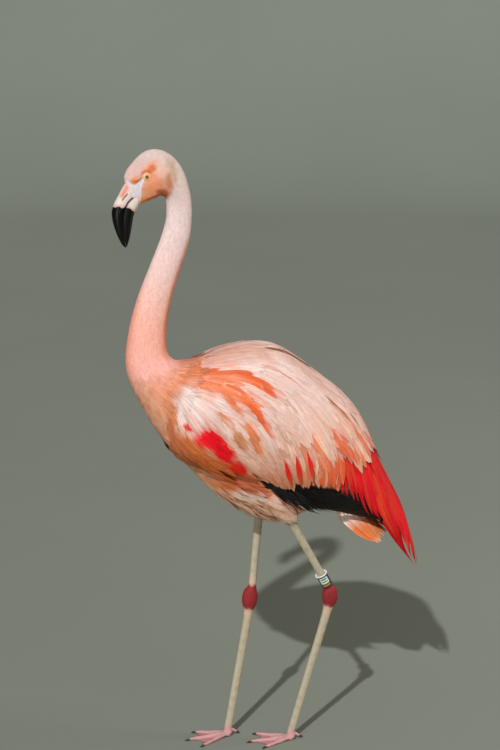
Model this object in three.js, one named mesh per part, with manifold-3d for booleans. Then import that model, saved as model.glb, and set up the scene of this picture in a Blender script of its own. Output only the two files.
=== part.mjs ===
// A life-size flamingo, standing in mid-stride with its wings folded and its bill held down.
// Millimetres, +Z up, the bird faces -X, its left side is -Y, and its soles stand on Z = 0.
// The head, neck and trunk are one oval loft, parted by thin cuts. Each wing is a thick shell cut from a cloak
// that lies over the trunk, with the black flight feathers as a second shell inside it.
import * as THREE from "three";
import { mergeVertices } from "three/addons/utils/BufferGeometryUtils.js";
import Module from "manifold-3d";

const wasm = await Module();
wasm.setup();

// Driving sizes.
const gap = 0.3; // clearance between neighbouring pieces
const eyeRadius = 6.6;
const eyeCentre = { x: -223.5, y: 14.6, z: 1066 };
const hipSpread = 48; // half the distance between the shanks where they leave the belly
const hockSpread = 34;
const footSpread = 24;
const hockRise = 19; // how far the swollen hock reaches up the shank from its bend
const wingCut = 0.25; // half the slit between the two folded wings
const toeLength = { inner: 62, middle: 76, outer: 68 };
const toeSplay = { inner: -29, middle: 0, outer: 30 }; // degrees from the middle toe
const webThickness = 1.5;

// Oval stations from the bill's base to the tail's root: [x, z] of the lower and the upper line, then half the width.
// egg above 0 widens the upper half of the oval, below 0 the lower half.
const bodyStations = [
  { belly: [-238, 1012], back: [-259, 1054], half: 11.5, egg: -0.1 }, // bill base
  { belly: [-234, 1015], back: [-260, 1067], half: 13.5, egg: -0.12 }, // forehead
  { belly: [-229, 1017], back: [-252, 1082], half: 16.2, egg: -0.14 },
  { belly: [-221, 1019], back: [-228, 1106], half: 19.2, egg: -0.12 }, // eye
  { belly: [-210, 1023], back: [-202, 1112], half: 20.6, egg: -0.08 }, // crown
  { belly: [-199, 1028], back: [-175, 1100], half: 20.4, egg: -0.04 }, // nape
  { belly: [-191, 1028], back: [-155, 1074], half: 20, egg: 0 },
  { belly: [-188, 1024], back: [-143, 1038], half: 19.6, egg: 0 }, // throat
  { belly: [-187, 1012], back: [-139, 1010], half: 20, egg: 0 }, // top of the neck
  { belly: [-188, 990], back: [-139, 986], half: 20, egg: 0 },
  { belly: [-194, 968], back: [-142, 957], half: 20.4, egg: 0 },
  { belly: [-204, 941], back: [-150, 927], half: 21.2, egg: 0 },
  { belly: [-223, 896], back: [-167, 878], half: 23.2, egg: 0 },
  { belly: [-242, 849], back: [-180, 830], half: 26, egg: 0 },
  { belly: [-256, 800], back: [-186, 790], half: 30, egg: 0 },
  { belly: [-264, 753], back: [-185, 756], half: 35.5, egg: 0 }, // foot of the neck
  { belly: [-264, 726], back: [-177, 741], half: 42, egg: 0 },
  { belly: [-258, 697], back: [-162, 733], half: 50.5, egg: 0 },
  { belly: [-244, 666], back: [-140, 734], half: 60, egg: 0.02 }, // shoulders
  { belly: [-226, 632], back: [-111, 739], half: 70, egg: 0.04 },
  { belly: [-200, 590], back: [-75, 744], half: 80, egg: 0.05 }, // breast
  { belly: [-166, 549], back: [-31, 745], half: 88, egg: 0.05 },
  { belly: [-124, 505], back: [14, 734], half: 93, egg: 0.05 },
  { belly: [-76, 464], back: [57, 702], half: 92, egg: 0.06 }, // belly
  { belly: [-25, 434], back: [94, 660], half: 86, egg: 0.08 },
  { belly: [28, 427], back: [125, 610], half: 75, egg: 0.1 },
  { belly: [76, 438], back: [152, 556], half: 60, egg: 0.1 }, // vent
  { belly: [118, 440], back: [174, 504], half: 45, egg: 0.08 },
  { belly: [148, 426], back: [194, 460], half: 32, egg: 0 },
];
const neckTop = 8; // stations where the whole is parted
const neckUpperEnd = 11;
const neckMiddleEnd = 13.2;
const neckEnd = 15.4;
const trunkEnd = bodyStations.length - 1;

// The cloak of folded wings and plumes. lining is how far inside its surface the shell ends.
const cloakStations = [
  { belly: [-217, 592], back: [-180, 702], half: 66, egg: 0, lining: 30 }, // wrist
  { belly: [-192, 556], back: [-148, 730], half: 87, egg: 0, lining: 30 },
  { belly: [-152, 528], back: [-112, 749], half: 103, egg: -0.02, lining: 30 },
  { belly: [-97, 500], back: [-72, 760], half: 112, egg: -0.05, lining: 30 },
  { belly: [-45, 475], back: [-31, 764], half: 116, egg: -0.09, lining: 22 }, // top of the back
  { belly: [5, 455], back: [13, 756], half: 116, egg: -0.13, lining: 13 },
  { belly: [50, 440], back: [57, 728], half: 112, egg: -0.15, lining: 11 },
  { belly: [95, 428], back: [99, 695], half: 104, egg: -0.16, lining: 10 },
  { belly: [135, 415], back: [141, 659], half: 92, egg: -0.17, lining: 10 }, // rump
  { belly: [172, 400], back: [174, 615], half: 78, egg: -0.18, lining: 10 },
  { belly: [205, 383], back: [203, 552], half: 62, egg: -0.18, lining: 9 },
  { belly: [232, 360], back: [231, 496], half: 48, egg: -0.18, lining: 9 },
  { belly: [254, 338], back: [255, 448], half: 37, egg: -0.15, lining: 8 }, // hanging plumes
  { belly: [274, 316], back: [276, 385], half: 27, egg: -0.1, lining: 7 },
  { belly: [290, 298], back: [300, 300], half: 15, egg: 0, lining: 5 },
];

// The arched fan of tail feathers.
const tailStations = [
  { belly: [154, 414], back: [198, 450], half: 25, egg: -0.1 },
  { belly: [166, 396], back: [210, 430], half: 32, egg: -0.15 },
  { belly: [181, 377], back: [222, 410], half: 38, egg: -0.2 },
  { belly: [195, 363], back: [232, 391], half: 36, egg: -0.2 },
  { belly: [207, 357], back: [238, 377], half: 24, egg: -0.2 },
];

// The lid of the bill: lower line along the mouth, upper line along its ridge.
const upperBillStations = [
  { belly: [-240, 1035.5], back: [-259, 1053.5], half: 10.6 },
  { belly: [-249.5, 1028], back: [-265.5, 1043], half: 10.2 },
  { belly: [-256, 1022], back: [-271.5, 1032], half: 10.2 },
  { belly: [-261, 1014], back: [-279, 1018], half: 10.6 },
  { belly: [-264.5, 1004], back: [-283, 1003.5], half: 10.6 }, // the bend
  { belly: [-266, 991], back: [-281.5, 988], half: 9.6 },
  { belly: [-265.5, 976], back: [-277.5, 973], half: 8 },
  { belly: [-263.5, 962], back: [-272, 959], half: 6 },
  { belly: [-260.5, 949], back: [-265.5, 946.5], half: 3.4 },
  { belly: [-258.2, 942], back: [-260, 941], half: 1.2 },
];
// The trough of the bill: lower line along its keel, upper line along the mouth.
const lowerBillStations = [
  { belly: [-236, 1014], back: [-239.4, 1034.6], half: 11 },
  { belly: [-238.4, 1009.5], back: [-248.6, 1027.4], half: 12 },
  { belly: [-241, 1005], back: [-255, 1021.4], half: 12.6 },
  { belly: [-243.4, 1000], back: [-259.8, 1013.6], half: 13 }, // the bend
  { belly: [-245.4, 993], back: [-263.2, 1004], half: 12.6 },
  { belly: [-247, 983], back: [-264.6, 991], half: 11.4 },
  { belly: [-249.4, 969], back: [-264, 976], half: 9.2 },
  { belly: [-252.4, 956], back: [-262, 961.4], half: 6.6 },
  { belly: [-255.4, 946.5], back: [-259.4, 949], half: 3.2 },
  { belly: [-256.8, 942], back: [-257.6, 942.4], half: 1.2 },
];

// Each leg in mid-stride: the left one trails, the right one leads. side is -1 for left, +1 for right.
const legs = [
  {
    name: "left",
    side: -1,
    knee: new THREE.Vector3(-6, -54, 500),
    shankTop: new THREE.Vector3(30, -hipSpread, 434),
    hock: new THREE.Vector3(113.5, -hockSpread, 284),
    ankle: new THREE.Vector3(38, -footSpread, 14),
    heading: -3,
  },
  {
    name: "right",
    side: 1,
    knee: new THREE.Vector3(8, 54, 500),
    shankTop: new THREE.Vector3(-3, hipSpread, 434),
    hock: new THREE.Vector3(-23, hockSpread, 268),
    ankle: new THREE.Vector3(-71, footSpread, 14),
    heading: 4,
  },
];

const paint = (color, roughness) => new THREE.MeshStandardMaterial({ color, roughness, metalness: 0 });
const finish = {
  palePlumage: paint("#efcdc2", 0.85),
  corPlumage: paint("#f4a58c", 0.85),
  wingPlumage: paint("#f0bfa8", 0.8),
  flightPlumage: paint("#14161a", 0.7),
  paleBill: paint("#ecd6cf", 0.5),
  blackBill: paint("#17181a", 0.35),
  iris: paint("#f0d68c", 0.15),
  legSkin: paint("#cfc2ac", 0.6),
  hockSkin: paint("#b8323f", 0.6),
  claw: paint("#2b2724", 0.5),
  band: paint("#dfe3df", 0.35),
};

// Station values between the rows of a table, by the same smooth spline for each column.
function splineTable(stations) {
  const column = (read) => new THREE.SplineCurve(stations.map((row) => new THREE.Vector2(...read(row))));
  const belly = column((row) => row.belly);
  const back = column((row) => row.back);
  const width = column((row) => [row.half, row.egg ?? 0]);
  const lining = column((row) => [row.lining ?? 0, 0]);
  return (place) => {
    const t = place / (stations.length - 1);
    const low = belly.getPoint(t);
    const high = back.getPoint(t);
    const wide = width.getPoint(t);
    return { low, high, half: wide.x, egg: wide.y, lining: lining.getPoint(t).x };
  };
}

// One ring of an oval loft. grow moves its surface outwards.
function ovalRing(station, sides, grow = 0) {
  const { low, high, half, egg } = station;
  const middle = low.clone().add(high).multiplyScalar(0.5);
  const reach = high.clone().sub(low).multiplyScalar(0.5);
  const length = Math.max(reach.length(), 1e-6);
  reach.multiplyScalar((length + grow) / length);
  const ring = [];
  for (let i = 0; i < sides; i += 1) {
    const angle = (i / sides) * Math.PI * 2 - Math.PI / 2;
    const rise = Math.sin(angle);
    const across = Math.cos(angle) * (half + grow) * (1 + egg * rise);
    ring.push(new THREE.Vector3(middle.x + reach.x * rise, across, middle.y + reach.y * rise));
  }
  return ring;
}

// A ring with a flat floor on one line and a dome to the other, for the two halves of the bill.
function domeRing(station, sides, floorAtBack) {
  const { low, high, half } = station;
  const floor = floorAtBack ? high : low;
  const crown = floorAtBack ? low : high;
  const ring = [];
  for (let i = 0; i < sides; i += 1) {
    const angle = (i / (sides - 1)) * Math.PI;
    const rise = Math.sin(angle) ** 0.8;
    const across = Math.cos(angle) * half * (1 + 0.18 * Math.sin(2 * angle) * Math.sign(Math.cos(angle)));
    ring.push(
      new THREE.Vector3(
        floor.x + (crown.x - floor.x) * rise,
        across,
        floor.y + (crown.y - floor.y) * rise,
      ),
    );
  }
  return ring;
}

// A closed skin over rings of equal count, with a fan at each end.
function skin(rings) {
  const count = rings[0].length;
  const points = rings.flat();
  const index = [];
  for (let r = 0; r < rings.length - 1; r += 1) {
    for (let i = 0; i < count; i += 1) {
      const a = r * count + i;
      const b = r * count + ((i + 1) % count);
      index.push(a, b, a + count, b, b + count, a + count);
    }
  }
  const cap = (ring, start, flip) => {
    const centre = ring.reduce((sum, p) => sum.add(p), new THREE.Vector3()).divideScalar(count);
    points.push(centre);
    for (let i = 0; i < count; i += 1) {
      const a = start + i;
      const b = start + ((i + 1) % count);
      index.push(...(flip ? [b, a, points.length - 1] : [a, b, points.length - 1]));
    }
  };
  cap(rings[0], 0, true);
  cap(rings[rings.length - 1], (rings.length - 1) * count, false);
  const geometry = new THREE.BufferGeometry().setFromPoints(points).setIndex(index);
  return facingOut(geometry);
}

// Turns a closed geometry's faces round where they point inwards.
function facingOut(geometry) {
  const p = geometry.getAttribute("position");
  const index = geometry.getIndex().array;
  const corner = (i) => new THREE.Vector3().fromBufferAttribute(p, index[i]);
  let volume = 0;
  for (let i = 0; i < index.length; i += 3) {
    volume += corner(i).dot(corner(i + 1).cross(corner(i + 2)));
  }
  if (volume < 0) {
    for (let i = 0; i < index.length; i += 3) {
      [index[i + 1], index[i + 2]] = [index[i + 2], index[i + 1]];
    }
  }
  return geometry;
}

// An oval loft through a table of stations, between two places in it.
function loft(stations, { from = 0, to = stations.length - 1, step = 0.5, sides = 24, grow = 0, inset = 0 } = {}) {
  const at = splineTable(stations);
  const count = Math.max(2, Math.round((to - from) / step) + 1);
  const rings = [];
  for (let i = 0; i < count; i += 1) {
    const station = at(from + ((to - from) * i) / (count - 1));
    const depth = inset ? station.lining + inset - 1 : 0;
    station.high.y -= depth;
    station.half = Math.max(station.half - depth, 2);
    rings.push(ovalRing(station, sides, grow));
  }
  return skin(rings);
}

// A round or oval rod along a smooth path, or the stretch of it between two shares of its length.
// Each row of radii is [fore and aft, across].
function rod(path, radii, { sides = 12, steps = 8, from = 0, to = 1 } = {}) {
  const curve = new THREE.CatmullRomCurve3(path);
  const size = new THREE.SplineCurve(radii.map((r) => new THREE.Vector2(...r)));
  const rings = [];
  for (let s = 0; s <= steps; s += 1) {
    const share = from + ((to - from) * s) / steps;
    const centre = curve.getPoint(share);
    const along = curve.getTangent(share);
    const fore = new THREE.Vector3(0, 1, 0).cross(along).normalize();
    const across = along.clone().cross(fore).normalize();
    const r = size.getPoint(share);
    const ring = [];
    for (let i = 0; i < sides; i += 1) {
      const angle = (i / sides) * Math.PI * 2;
      ring.push(
        centre
          .clone()
          .addScaledVector(fore, Math.cos(angle) * r.x)
          .addScaledVector(across, Math.sin(angle) * r.y),
      );
    }
    rings.push(ring);
  }
  return skin(rings);
}

// Booleans, on solids made from three.js geometry.
function solidOf(geometry) {
  const bare = geometry.clone();
  bare.deleteAttribute("normal");
  bare.deleteAttribute("uv");
  const merged = mergeVertices(bare, 1e-4);
  return new wasm.Manifold(
    new wasm.Mesh({
      numProp: 3,
      vertProperties: new Float32Array(merged.getAttribute("position").array),
      triVerts: new Uint32Array(merged.getIndex().array),
    }),
  );
}

// The largest body of a solid, as geometry: a cut can leave crumbs at a feathered edge.
function geometryOf(solid) {
  const bodies = solid.decompose().sort((a, b) => b.volume() - a.volume());
  const made = bodies[0].getMesh();
  const position = new Float32Array(made.numVert * 3);
  for (let i = 0; i < made.numVert; i += 1) {
    position.set(made.vertProperties.subarray(i * made.numProp, i * made.numProp + 3), i * 3);
  }
  return new THREE.BufferGeometry()
    .setAttribute("position", new THREE.BufferAttribute(position, 3))
    .setIndex(new THREE.BufferAttribute(new Uint32Array(made.triVerts), 1));
}

// A side outline drawn in X and Z, run through the bird from one Y to another.
function sidePrism(shape, fromY, toY) {
  const geometry = new THREE.ExtrudeGeometry(shape, {
    depth: toY - fromY,
    bevelEnabled: false,
    curveSegments: 2,
  });
  geometry.rotateX(Math.PI / 2).translate(0, toY, 0);
  return solidOf(geometry);
}

// Adds a row of rounded feather tips to an outline, from its present point to the next.
function fringe(shape, to, count, depth) {
  const from = shape.currentPoint.clone();
  const along = new THREE.Vector2(...to).sub(from);
  const down = new THREE.Vector2(along.y, -along.x).normalize();
  for (let i = 0; i < count; i += 1) {
    const middle = from.clone().addScaledVector(along, (i + 0.62) / count).addScaledVector(down, depth * 2);
    const end = from.clone().addScaledVector(along, (i + 1) / count);
    shape.quadraticCurveTo(middle.x, middle.y, end.x, end.y);
  }
}

const bird = new THREE.Group();
function add(name, geometry, material, parent = bird) {
  const mesh = new THREE.Mesh(geometry, material);
  mesh.name = name;
  parent.add(mesh);
  return mesh;
}

// Head, neck and trunk.
const cutShare = 0.006; // half a cut, as a share of one station
const headShell = solidOf(loft(bodyStations, { to: neckTop - cutShare, step: 0.66, sides: 20 }));
const socket = (side) =>
  solidOf(
    new THREE.SphereGeometry(eyeRadius + gap, 14, 8).translate(eyeCentre.x, eyeCentre.y * side, eyeCentre.z),
  );
add("head", geometryOf(headShell.subtract(socket(1)).subtract(socket(-1))), finish.palePlumage);
const neckCuts = [neckTop, neckUpperEnd, neckMiddleEnd, neckEnd];
["neck_upper", "neck_middle", "neck_lower"].forEach((name, i) => {
  const [from, to] = [neckCuts[i] + cutShare, neckCuts[i + 1] - cutShare];
  add(name, loft(bodyStations, { from, to, step: 0.6, sides: 20 }), i ? finish.corPlumage : finish.palePlumage);
});
const trunkSpan = { from: neckEnd + cutShare, to: trunkEnd, step: 0.66, sides: 22 };
const trunk = loft(bodyStations, trunkSpan);
add("trunk", trunk, finish.corPlumage);
const trunkRoom = solidOf(loft(bodyStations, { ...trunkSpan, grow: gap + 0.1 }));
for (const [name, side] of [
  ["left", -1],
  ["right", 1],
]) {
  const ball = new THREE.SphereGeometry(eyeRadius, 14, 8);
  ball.translate(eyeCentre.x, eyeCentre.y * side, eyeCentre.z);
  add("eye_" + name, geometryOf(solidOf(ball)), finish.iris);
}

// Bill.
function billHalf(stations, floorAtBack) {
  const at = splineTable(stations);
  const count = 14;
  const rings = [];
  for (let i = 0; i < count; i += 1) {
    rings.push(domeRing(at(((stations.length - 1) * i) / (count - 1)), 11, floorAtBack));
  }
  return solidOf(skin(rings));
}
const headRoom = solidOf(loft(bodyStations, { to: 4, step: 0.66, sides: 20, grow: gap }));
add("bill_upper", geometryOf(billHalf(upperBillStations, false).subtract(headRoom)), finish.paleBill);
add("bill_lower", geometryOf(billHalf(lowerBillStations, true).subtract(headRoom)), finish.blackBill);

// Tail: an arch, hollow below.
const tailLoft = loft(tailStations, { step: 0.8, sides: 14 });
const tailHollow = tailLoft.clone().translate(-5, 0, -9);
const tail = solidOf(tailLoft).subtract(solidOf(tailHollow)).subtract(trunkRoom);
add("tail", geometryOf(tail), finish.corPlumage);
const tailRoom = solidOf(loft(tailStations, { step: 0.8, sides: 14, grow: gap }));

// Wings: the outline of the folded wing, seen from the side, cut out of the cloak.
const wingOutline = new THREE.Shape();
wingOutline.moveTo(-150, 800);
wingOutline.lineTo(-172, 728);
wingOutline.quadraticCurveTo(-204, 695, -207, 645); // the bend of the wing
wingOutline.quadraticCurveTo(-204, 600, -176, 570);
wingOutline.lineTo(-150, 553);
fringe(wingOutline, [-62, 534], 4, 5); // small coverts
fringe(wingOutline, [-6, 508], 3, 6);
fringe(wingOutline, [72, 505], 5, 8); // great coverts
fringe(wingOutline, [116, 486], 3, 9);
wingOutline.lineTo(127, 467);
wingOutline.lineTo(136, 475);
wingOutline.lineTo(152, 450); // red plumes, each ending in a point
wingOutline.lineTo(160, 456);
wingOutline.lineTo(181, 418);
wingOutline.lineTo(190, 440);
wingOutline.lineTo(222, 403);
wingOutline.lineTo(226, 414);
wingOutline.lineTo(242, 370);
wingOutline.lineTo(246, 392);
wingOutline.lineTo(259, 335);
wingOutline.lineTo(263, 352);
wingOutline.lineTo(275, 308);
wingOutline.lineTo(277, 345);
wingOutline.lineTo(299, 296);
wingOutline.lineTo(340, 300);
wingOutline.lineTo(330, 600);
wingOutline.lineTo(150, 800);

// The black flight feathers show below the plumes.
const flightOutline = new THREE.Shape();
flightOutline.moveTo(-12, 540);
flightOutline.lineTo(-6, 486);
flightOutline.lineTo(18, 468);
fringe(flightOutline, [116, 457], 4, 3);
fringe(flightOutline, [191, 424], 3, 3);
flightOutline.lineTo(222, 404);
flightOutline.lineTo(236, 392);
flightOutline.lineTo(215, 450);
flightOutline.lineTo(150, 540);

const cloakSpan = { step: 0.8, sides: 22 };
const cloak = solidOf(loft(cloakStations, cloakSpan));
const lining = solidOf(loft(cloakStations, { ...cloakSpan, sides: 14, inset: 1 }));
const flightOuter = solidOf(loft(cloakStations, { ...cloakSpan, sides: 14, inset: 1 + gap }));
const flightInner = solidOf(loft(cloakStations, { ...cloakSpan, sides: 14, inset: 6 }));
const wingSolid = cloak
  .intersect(sidePrism(wingOutline, -200, -wingCut))
  .subtract(lining)
  .subtract(trunkRoom);
const flightSolid = flightOuter
  .intersect(sidePrism(flightOutline, -200, -6))
  .subtract(flightInner)
  .subtract(trunkRoom)
  .subtract(tailRoom);

// Feathered thigh, from under the belly to where the bare shank begins. grow makes room for it in a wing.
function thighSolid({ knee, shankTop, hock }, grow = 0) {
  const down = hock.clone().sub(shankTop).normalize();
  const path = [knee, knee.clone().lerp(shankTop, 0.55)];
  path.push(shankTop.clone().addScaledVector(down, -4), shankTop.clone().addScaledVector(down, 6));
  const radii = [
    [31, 24],
    [27, 23],
    [16.5, 15.5],
    [9.8, 9.4],
  ].map((r) => r.map((size) => size + grow));
  return solidOf(rod(path, radii, { steps: 7, sides: 12 }));
}

for (const leg of legs) {
  const mirror = (solid) => (leg.side < 0 ? solid : solid.mirror([0, 1, 0]));
  const room = thighSolid(leg, gap + 0.1);
  add("wing_" + leg.name, geometryOf(mirror(wingSolid).subtract(room)), finish.wingPlumage);
  add("flight_feathers_" + leg.name, geometryOf(mirror(flightSolid).subtract(room)), finish.flightPlumage);
  add("thigh_" + leg.name, geometryOf(thighSolid(leg).subtract(trunkRoom)), finish.palePlumage);
}

// A foot at its own origin: under the ankle, toes along -X, webs between them.
function toePath(angle, from, to, height) {
  const turn = THREE.MathUtils.degToRad(angle);
  const place = (d, z) => new THREE.Vector3(-Math.cos(turn) * d, -Math.sin(turn) * d, z);
  return [place(from, height[0]), place((from + to) / 2, height[1]), place(to, height[2])];
}
const floorBlock = solidOf(new THREE.BoxGeometry(400, 400, 40).translate(0, 0, -20));
function footSolid(side) {
  let made = solidOf(
    rod(
      [new THREE.Vector3(1, 0, 14), new THREE.Vector3(0, 0, 8), new THREE.Vector3(-4, 0, 3)],
      [
        [7.2, 6.4],
        [8.6, 8.4],
        [7, 9],
      ],
      { steps: 3, sides: 8 },
    ),
  );
  for (const name of ["inner", "middle", "outer"]) {
    const path = toePath(toeSplay[name] * side, 0, toeLength[name], [6, 3.6, 2.2]);
    const toe = rod(
      path,
      [
        [5.4, 5.2],
        [4.1, 4.4],
        [4.5, 4.2],
        [3.3, 3.6],
        [3.6, 3.4],
        [2.4, 2.4],
      ],
      { steps: 4, sides: 6 },
    );
    made = made.add(solidOf(toe));
  }
  const web = new THREE.Shape();
  const tip = (name, share) => {
    const turn = THREE.MathUtils.degToRad(toeSplay[name] * side);
    return [-Math.cos(turn) * toeLength[name] * share, -Math.sin(turn) * toeLength[name] * share];
  };
  web.moveTo(2, 0);
  web.lineTo(...tip("inner", 0.93));
  web.quadraticCurveTo(...tip("inner", 0.6).map((v, i) => (v + tip("middle", 0.75)[i]) / 2), ...tip("middle", 0.92));
  web.quadraticCurveTo(...tip("outer", 0.6).map((v, i) => (v + tip("middle", 0.75)[i]) / 2), ...tip("outer", 0.93));
  web.closePath();
  const sheet = new THREE.ExtrudeGeometry(web, { depth: webThickness, bevelEnabled: false, curveSegments: 3 });
  sheet.translate(0, 0, 0.5);
  made = made.add(solidOf(sheet));
  const hindToe = rod(
    [new THREE.Vector3(4, 0, 13), new THREE.Vector3(11, 0, 10), new THREE.Vector3(17, 0, 6)],
    [
      [3.4, 3.4],
      [3, 2.8],
      [2, 2],
    ],
    { steps: 3, sides: 6 },
  );
  return made.add(solidOf(hindToe)).subtract(floorBlock);
}

// A flat claw that carries a toe on.
function clawSolid(start, turnDegrees, length, drop) {
  const turn = THREE.MathUtils.degToRad(turnDegrees);
  const place = (d, z) =>
    new THREE.Vector3(start.x - Math.cos(turn) * d, start.y - Math.sin(turn) * d, start.z + z);
  return solidOf(
    rod(
      [place(gap, 0), place(length * 0.55, -drop * 0.35), place(length, -drop)],
      [
        [1.9, 2.5],
        [1.5, 2.3],
        [0.5, 1],
      ],
      { steps: 2, sides: 6 },
    ),
  ).subtract(floorBlock);
}

for (const leg of legs) {
  const { name, side, shankTop, hock, ankle, heading } = leg;
  const down = hock.clone().sub(shankTop).normalize();
  const forward = ankle.clone().sub(hock).normalize();

  // Bare shank, hock and tarsus: one rod, parted above and below the hock.
  const reach = [
    { name: "shank", from: 0, to: 3, steps: 5, material: finish.legSkin },
    { name: "hock", from: 3, to: 6, steps: 8, material: finish.hockSkin },
    { name: "tarsus", from: 6, to: 8, steps: 7, material: finish.legSkin },
  ];
  const bulge = new THREE.Vector3(-1.6, 0, 0);
  const path = [
    shankTop.clone().addScaledVector(down, 6 + gap),
    shankTop.clone().lerp(hock, 0.45),
    hock.clone().addScaledVector(down, -hockRise - 30),
    hock.clone().addScaledVector(down, -hockRise),
    hock.clone().addScaledVector(down, -8).add(bulge),
    hock.clone().addScaledVector(forward, 9).add(bulge),
    hock.clone().addScaledVector(forward, 30),
    hock.clone().lerp(ankle, 0.55),
    ankle,
  ];
  const radii = [
    [7.8, 6.8],
    [7.2, 6],
    [7, 6.2],
    [8, 7.2],
    [13.6, 10.6],
    [14.6, 11],
    [8.6, 7.2],
    [7.2, 5.6],
    [7.2, 6.2],
  ];
  const pieceGap = 0.007; // half a cut, as a share of one stretch of the path
  for (const piece of reach) {
    const from = (piece.from + (piece.from > 0 ? pieceGap : 0)) / (path.length - 1);
    const to = (piece.to - (piece.to < path.length - 1 ? pieceGap : 0)) / (path.length - 1);
    add(piece.name + "_" + name, rod(path, radii, { from, to, steps: piece.steps, sides: 10 }), piece.material);
  }

  // Foot and claws, turned to the leg's heading.
  const foot = new THREE.Group();
  foot.position.set(ankle.x, ankle.y, 0);
  foot.rotation.z = THREE.MathUtils.degToRad(heading);
  bird.add(foot);
  const lean = forward.clone().applyAxisAngle(new THREE.Vector3(0, 0, 1), -foot.rotation.z);
  const tarsusEnd = new THREE.Mesh(new THREE.BoxGeometry(40, 40, 40));
  tarsusEnd.quaternion.setFromUnitVectors(new THREE.Vector3(0, 0, -1), lean);
  tarsusEnd.position.set(0, 0, ankle.z - gap).addScaledVector(lean, -20);
  tarsusEnd.updateMatrixWorld(true);
  const tarsusRoom = solidOf(tarsusEnd.geometry.applyMatrix4(tarsusEnd.matrixWorld));
  add("foot_" + name, geometryOf(footSolid(side).subtract(tarsusRoom)), finish.legSkin, foot);
  for (const toe of ["inner", "middle", "outer"]) {
    const tipAt = toePath(toeSplay[toe] * side, 0, toeLength[toe], [0, 0, 2.2])[2];
    add(
      "claw_" + name + "_" + toe,
      geometryOf(clawSolid(tipAt, toeSplay[toe] * side, 8, 1.6)),
      finish.claw,
      foot,
    );
  }
  add("claw_" + name + "_hind", geometryOf(clawSolid(new THREE.Vector3(18.2, 0, 5.6), 180, 5, 2.5)), finish.claw, foot);
}

// The ring on the left shank, with a flange at its upper edge.
const left = legs[0];
const shankLine = left.hock.clone().sub(left.shankTop).normalize();
const bandProfile = [
  [8.6, -14],
  [10.2, -14],
  [10.2, 11.4],
  [11.8, 12.4],
  [11.8, 14],
  [8.6, 14],
  [8.6, -14],
].map(([r, h]) => new THREE.Vector2(r, h));
const band = add("leg_band", new THREE.LatheGeometry(bandProfile, 18), finish.band);
band.quaternion.setFromUnitVectors(new THREE.Vector3(0, -1, 0), shankLine);
band.position.copy(left.hock).addScaledVector(shankLine, -hockRise - 15);

// Stand the bird with its origin on the floor under the middle of its box.
bird.updateMatrixWorld(true);
const box = new THREE.Box3().setFromObject(bird, true);
const middle = box.getCenter(new THREE.Vector3());
bird.position.set(-middle.x, -middle.y, 0);

export default bird;
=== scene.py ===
import math

import bpy
import numpy as np
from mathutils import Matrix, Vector
from mathutils.kdtree import KDTree


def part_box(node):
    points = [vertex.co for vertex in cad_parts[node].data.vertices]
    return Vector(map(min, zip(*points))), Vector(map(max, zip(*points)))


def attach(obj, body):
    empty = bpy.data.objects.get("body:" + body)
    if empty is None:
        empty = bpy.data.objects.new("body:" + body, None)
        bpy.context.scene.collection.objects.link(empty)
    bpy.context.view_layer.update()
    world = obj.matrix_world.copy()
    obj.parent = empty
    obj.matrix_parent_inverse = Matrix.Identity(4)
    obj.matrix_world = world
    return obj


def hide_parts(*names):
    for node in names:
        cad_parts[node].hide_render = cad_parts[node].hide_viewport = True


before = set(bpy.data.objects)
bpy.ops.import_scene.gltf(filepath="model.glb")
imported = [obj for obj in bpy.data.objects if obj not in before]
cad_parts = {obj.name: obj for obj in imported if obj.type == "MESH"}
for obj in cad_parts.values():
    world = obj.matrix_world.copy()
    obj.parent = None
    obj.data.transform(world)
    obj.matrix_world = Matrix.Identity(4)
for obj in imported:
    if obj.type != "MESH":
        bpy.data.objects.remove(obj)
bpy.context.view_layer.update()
print("frame loaded with", len(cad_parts), "nodes")
rng = np.random.default_rng(11)

# The bird faces -X, its left side is -Y and its soles are at Z = 0. All lengths are metres.
eyeball = {"x": -0.2235, "y": 0.0146, "z": 1.066, "radius": 0.0066, "pupil": 0.0019}
eyeLow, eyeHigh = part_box("eye_left")
shift = np.array([(eyeLow[0] + eyeHigh[0]) / 2 - eyeball["x"], 0.0, 0.0])


def linear(hexColour):
    value = np.array([int(hexColour[i : i + 2], 16) / 255 for i in (1, 3, 5)])
    return np.where(value <= 0.04045, value / 12.92, ((value + 0.055) / 1.055) ** 2.4)


def mix(a, b, amount):
    a, b = (linear(v) if isinstance(v, str) else v for v in (a, b))
    return a + (b - a) * np.asarray(amount, float)[..., None]


def layered(colour, *layers):
    for tone, amount in layers:
        colour = mix(colour, tone, amount)
    return colour


def smooth(low, high, value):
    t = np.clip((value - low) / (high - low), 0, 1)
    return t * t * (3 - 2 * t)


def unit(v):
    return v / np.maximum(np.linalg.norm(v, axis=-1, keepdims=True), 1e-12)


def dot(a, b):
    return (a * b).sum(-1)


def wobble(points, size, seed=0.0):
    # A value from -1 to 1 that wanders smoothly over space.
    p = points / size
    a = np.sin(p[..., 0] * 1.7 + p[..., 2] * 2.3 + seed)
    b = np.sin(p[..., 0] * -2.9 + p[..., 1] * 1.3 + p[..., 2] * 1.1 + seed * 2.1)
    c = np.sin(p[..., 1] * 2.7 + p[..., 2] * -3.1 + seed * 0.7)
    return (a + b + c) / 3


def hermite(p1, p2, v1, v2, w):
    return ((2 * p1 - 2 * p2 + v1 + v2) * w - 3 * p1 + 3 * p2 - 2 * v1 - v2) * w * w + v1 * w + p1


def splineAt(rows, place):
    # Smooth values between the rows of a table.
    rows = np.asarray(rows, float)
    last = len(rows) - 1
    place = np.clip(np.asarray(place, float), 0, last)
    i = np.minimum(place.astype(int), last - 1)
    w = (place - i)[..., None]
    p0, p1, p2, p3 = (rows[np.clip(i + k, 0, last)] for k in (-1, 0, 1, 2))
    v0, v1 = (p2 - p0) / 2, (p3 - p1) / 2
    return hermite(p1, p2, v0, v1, w)


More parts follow.
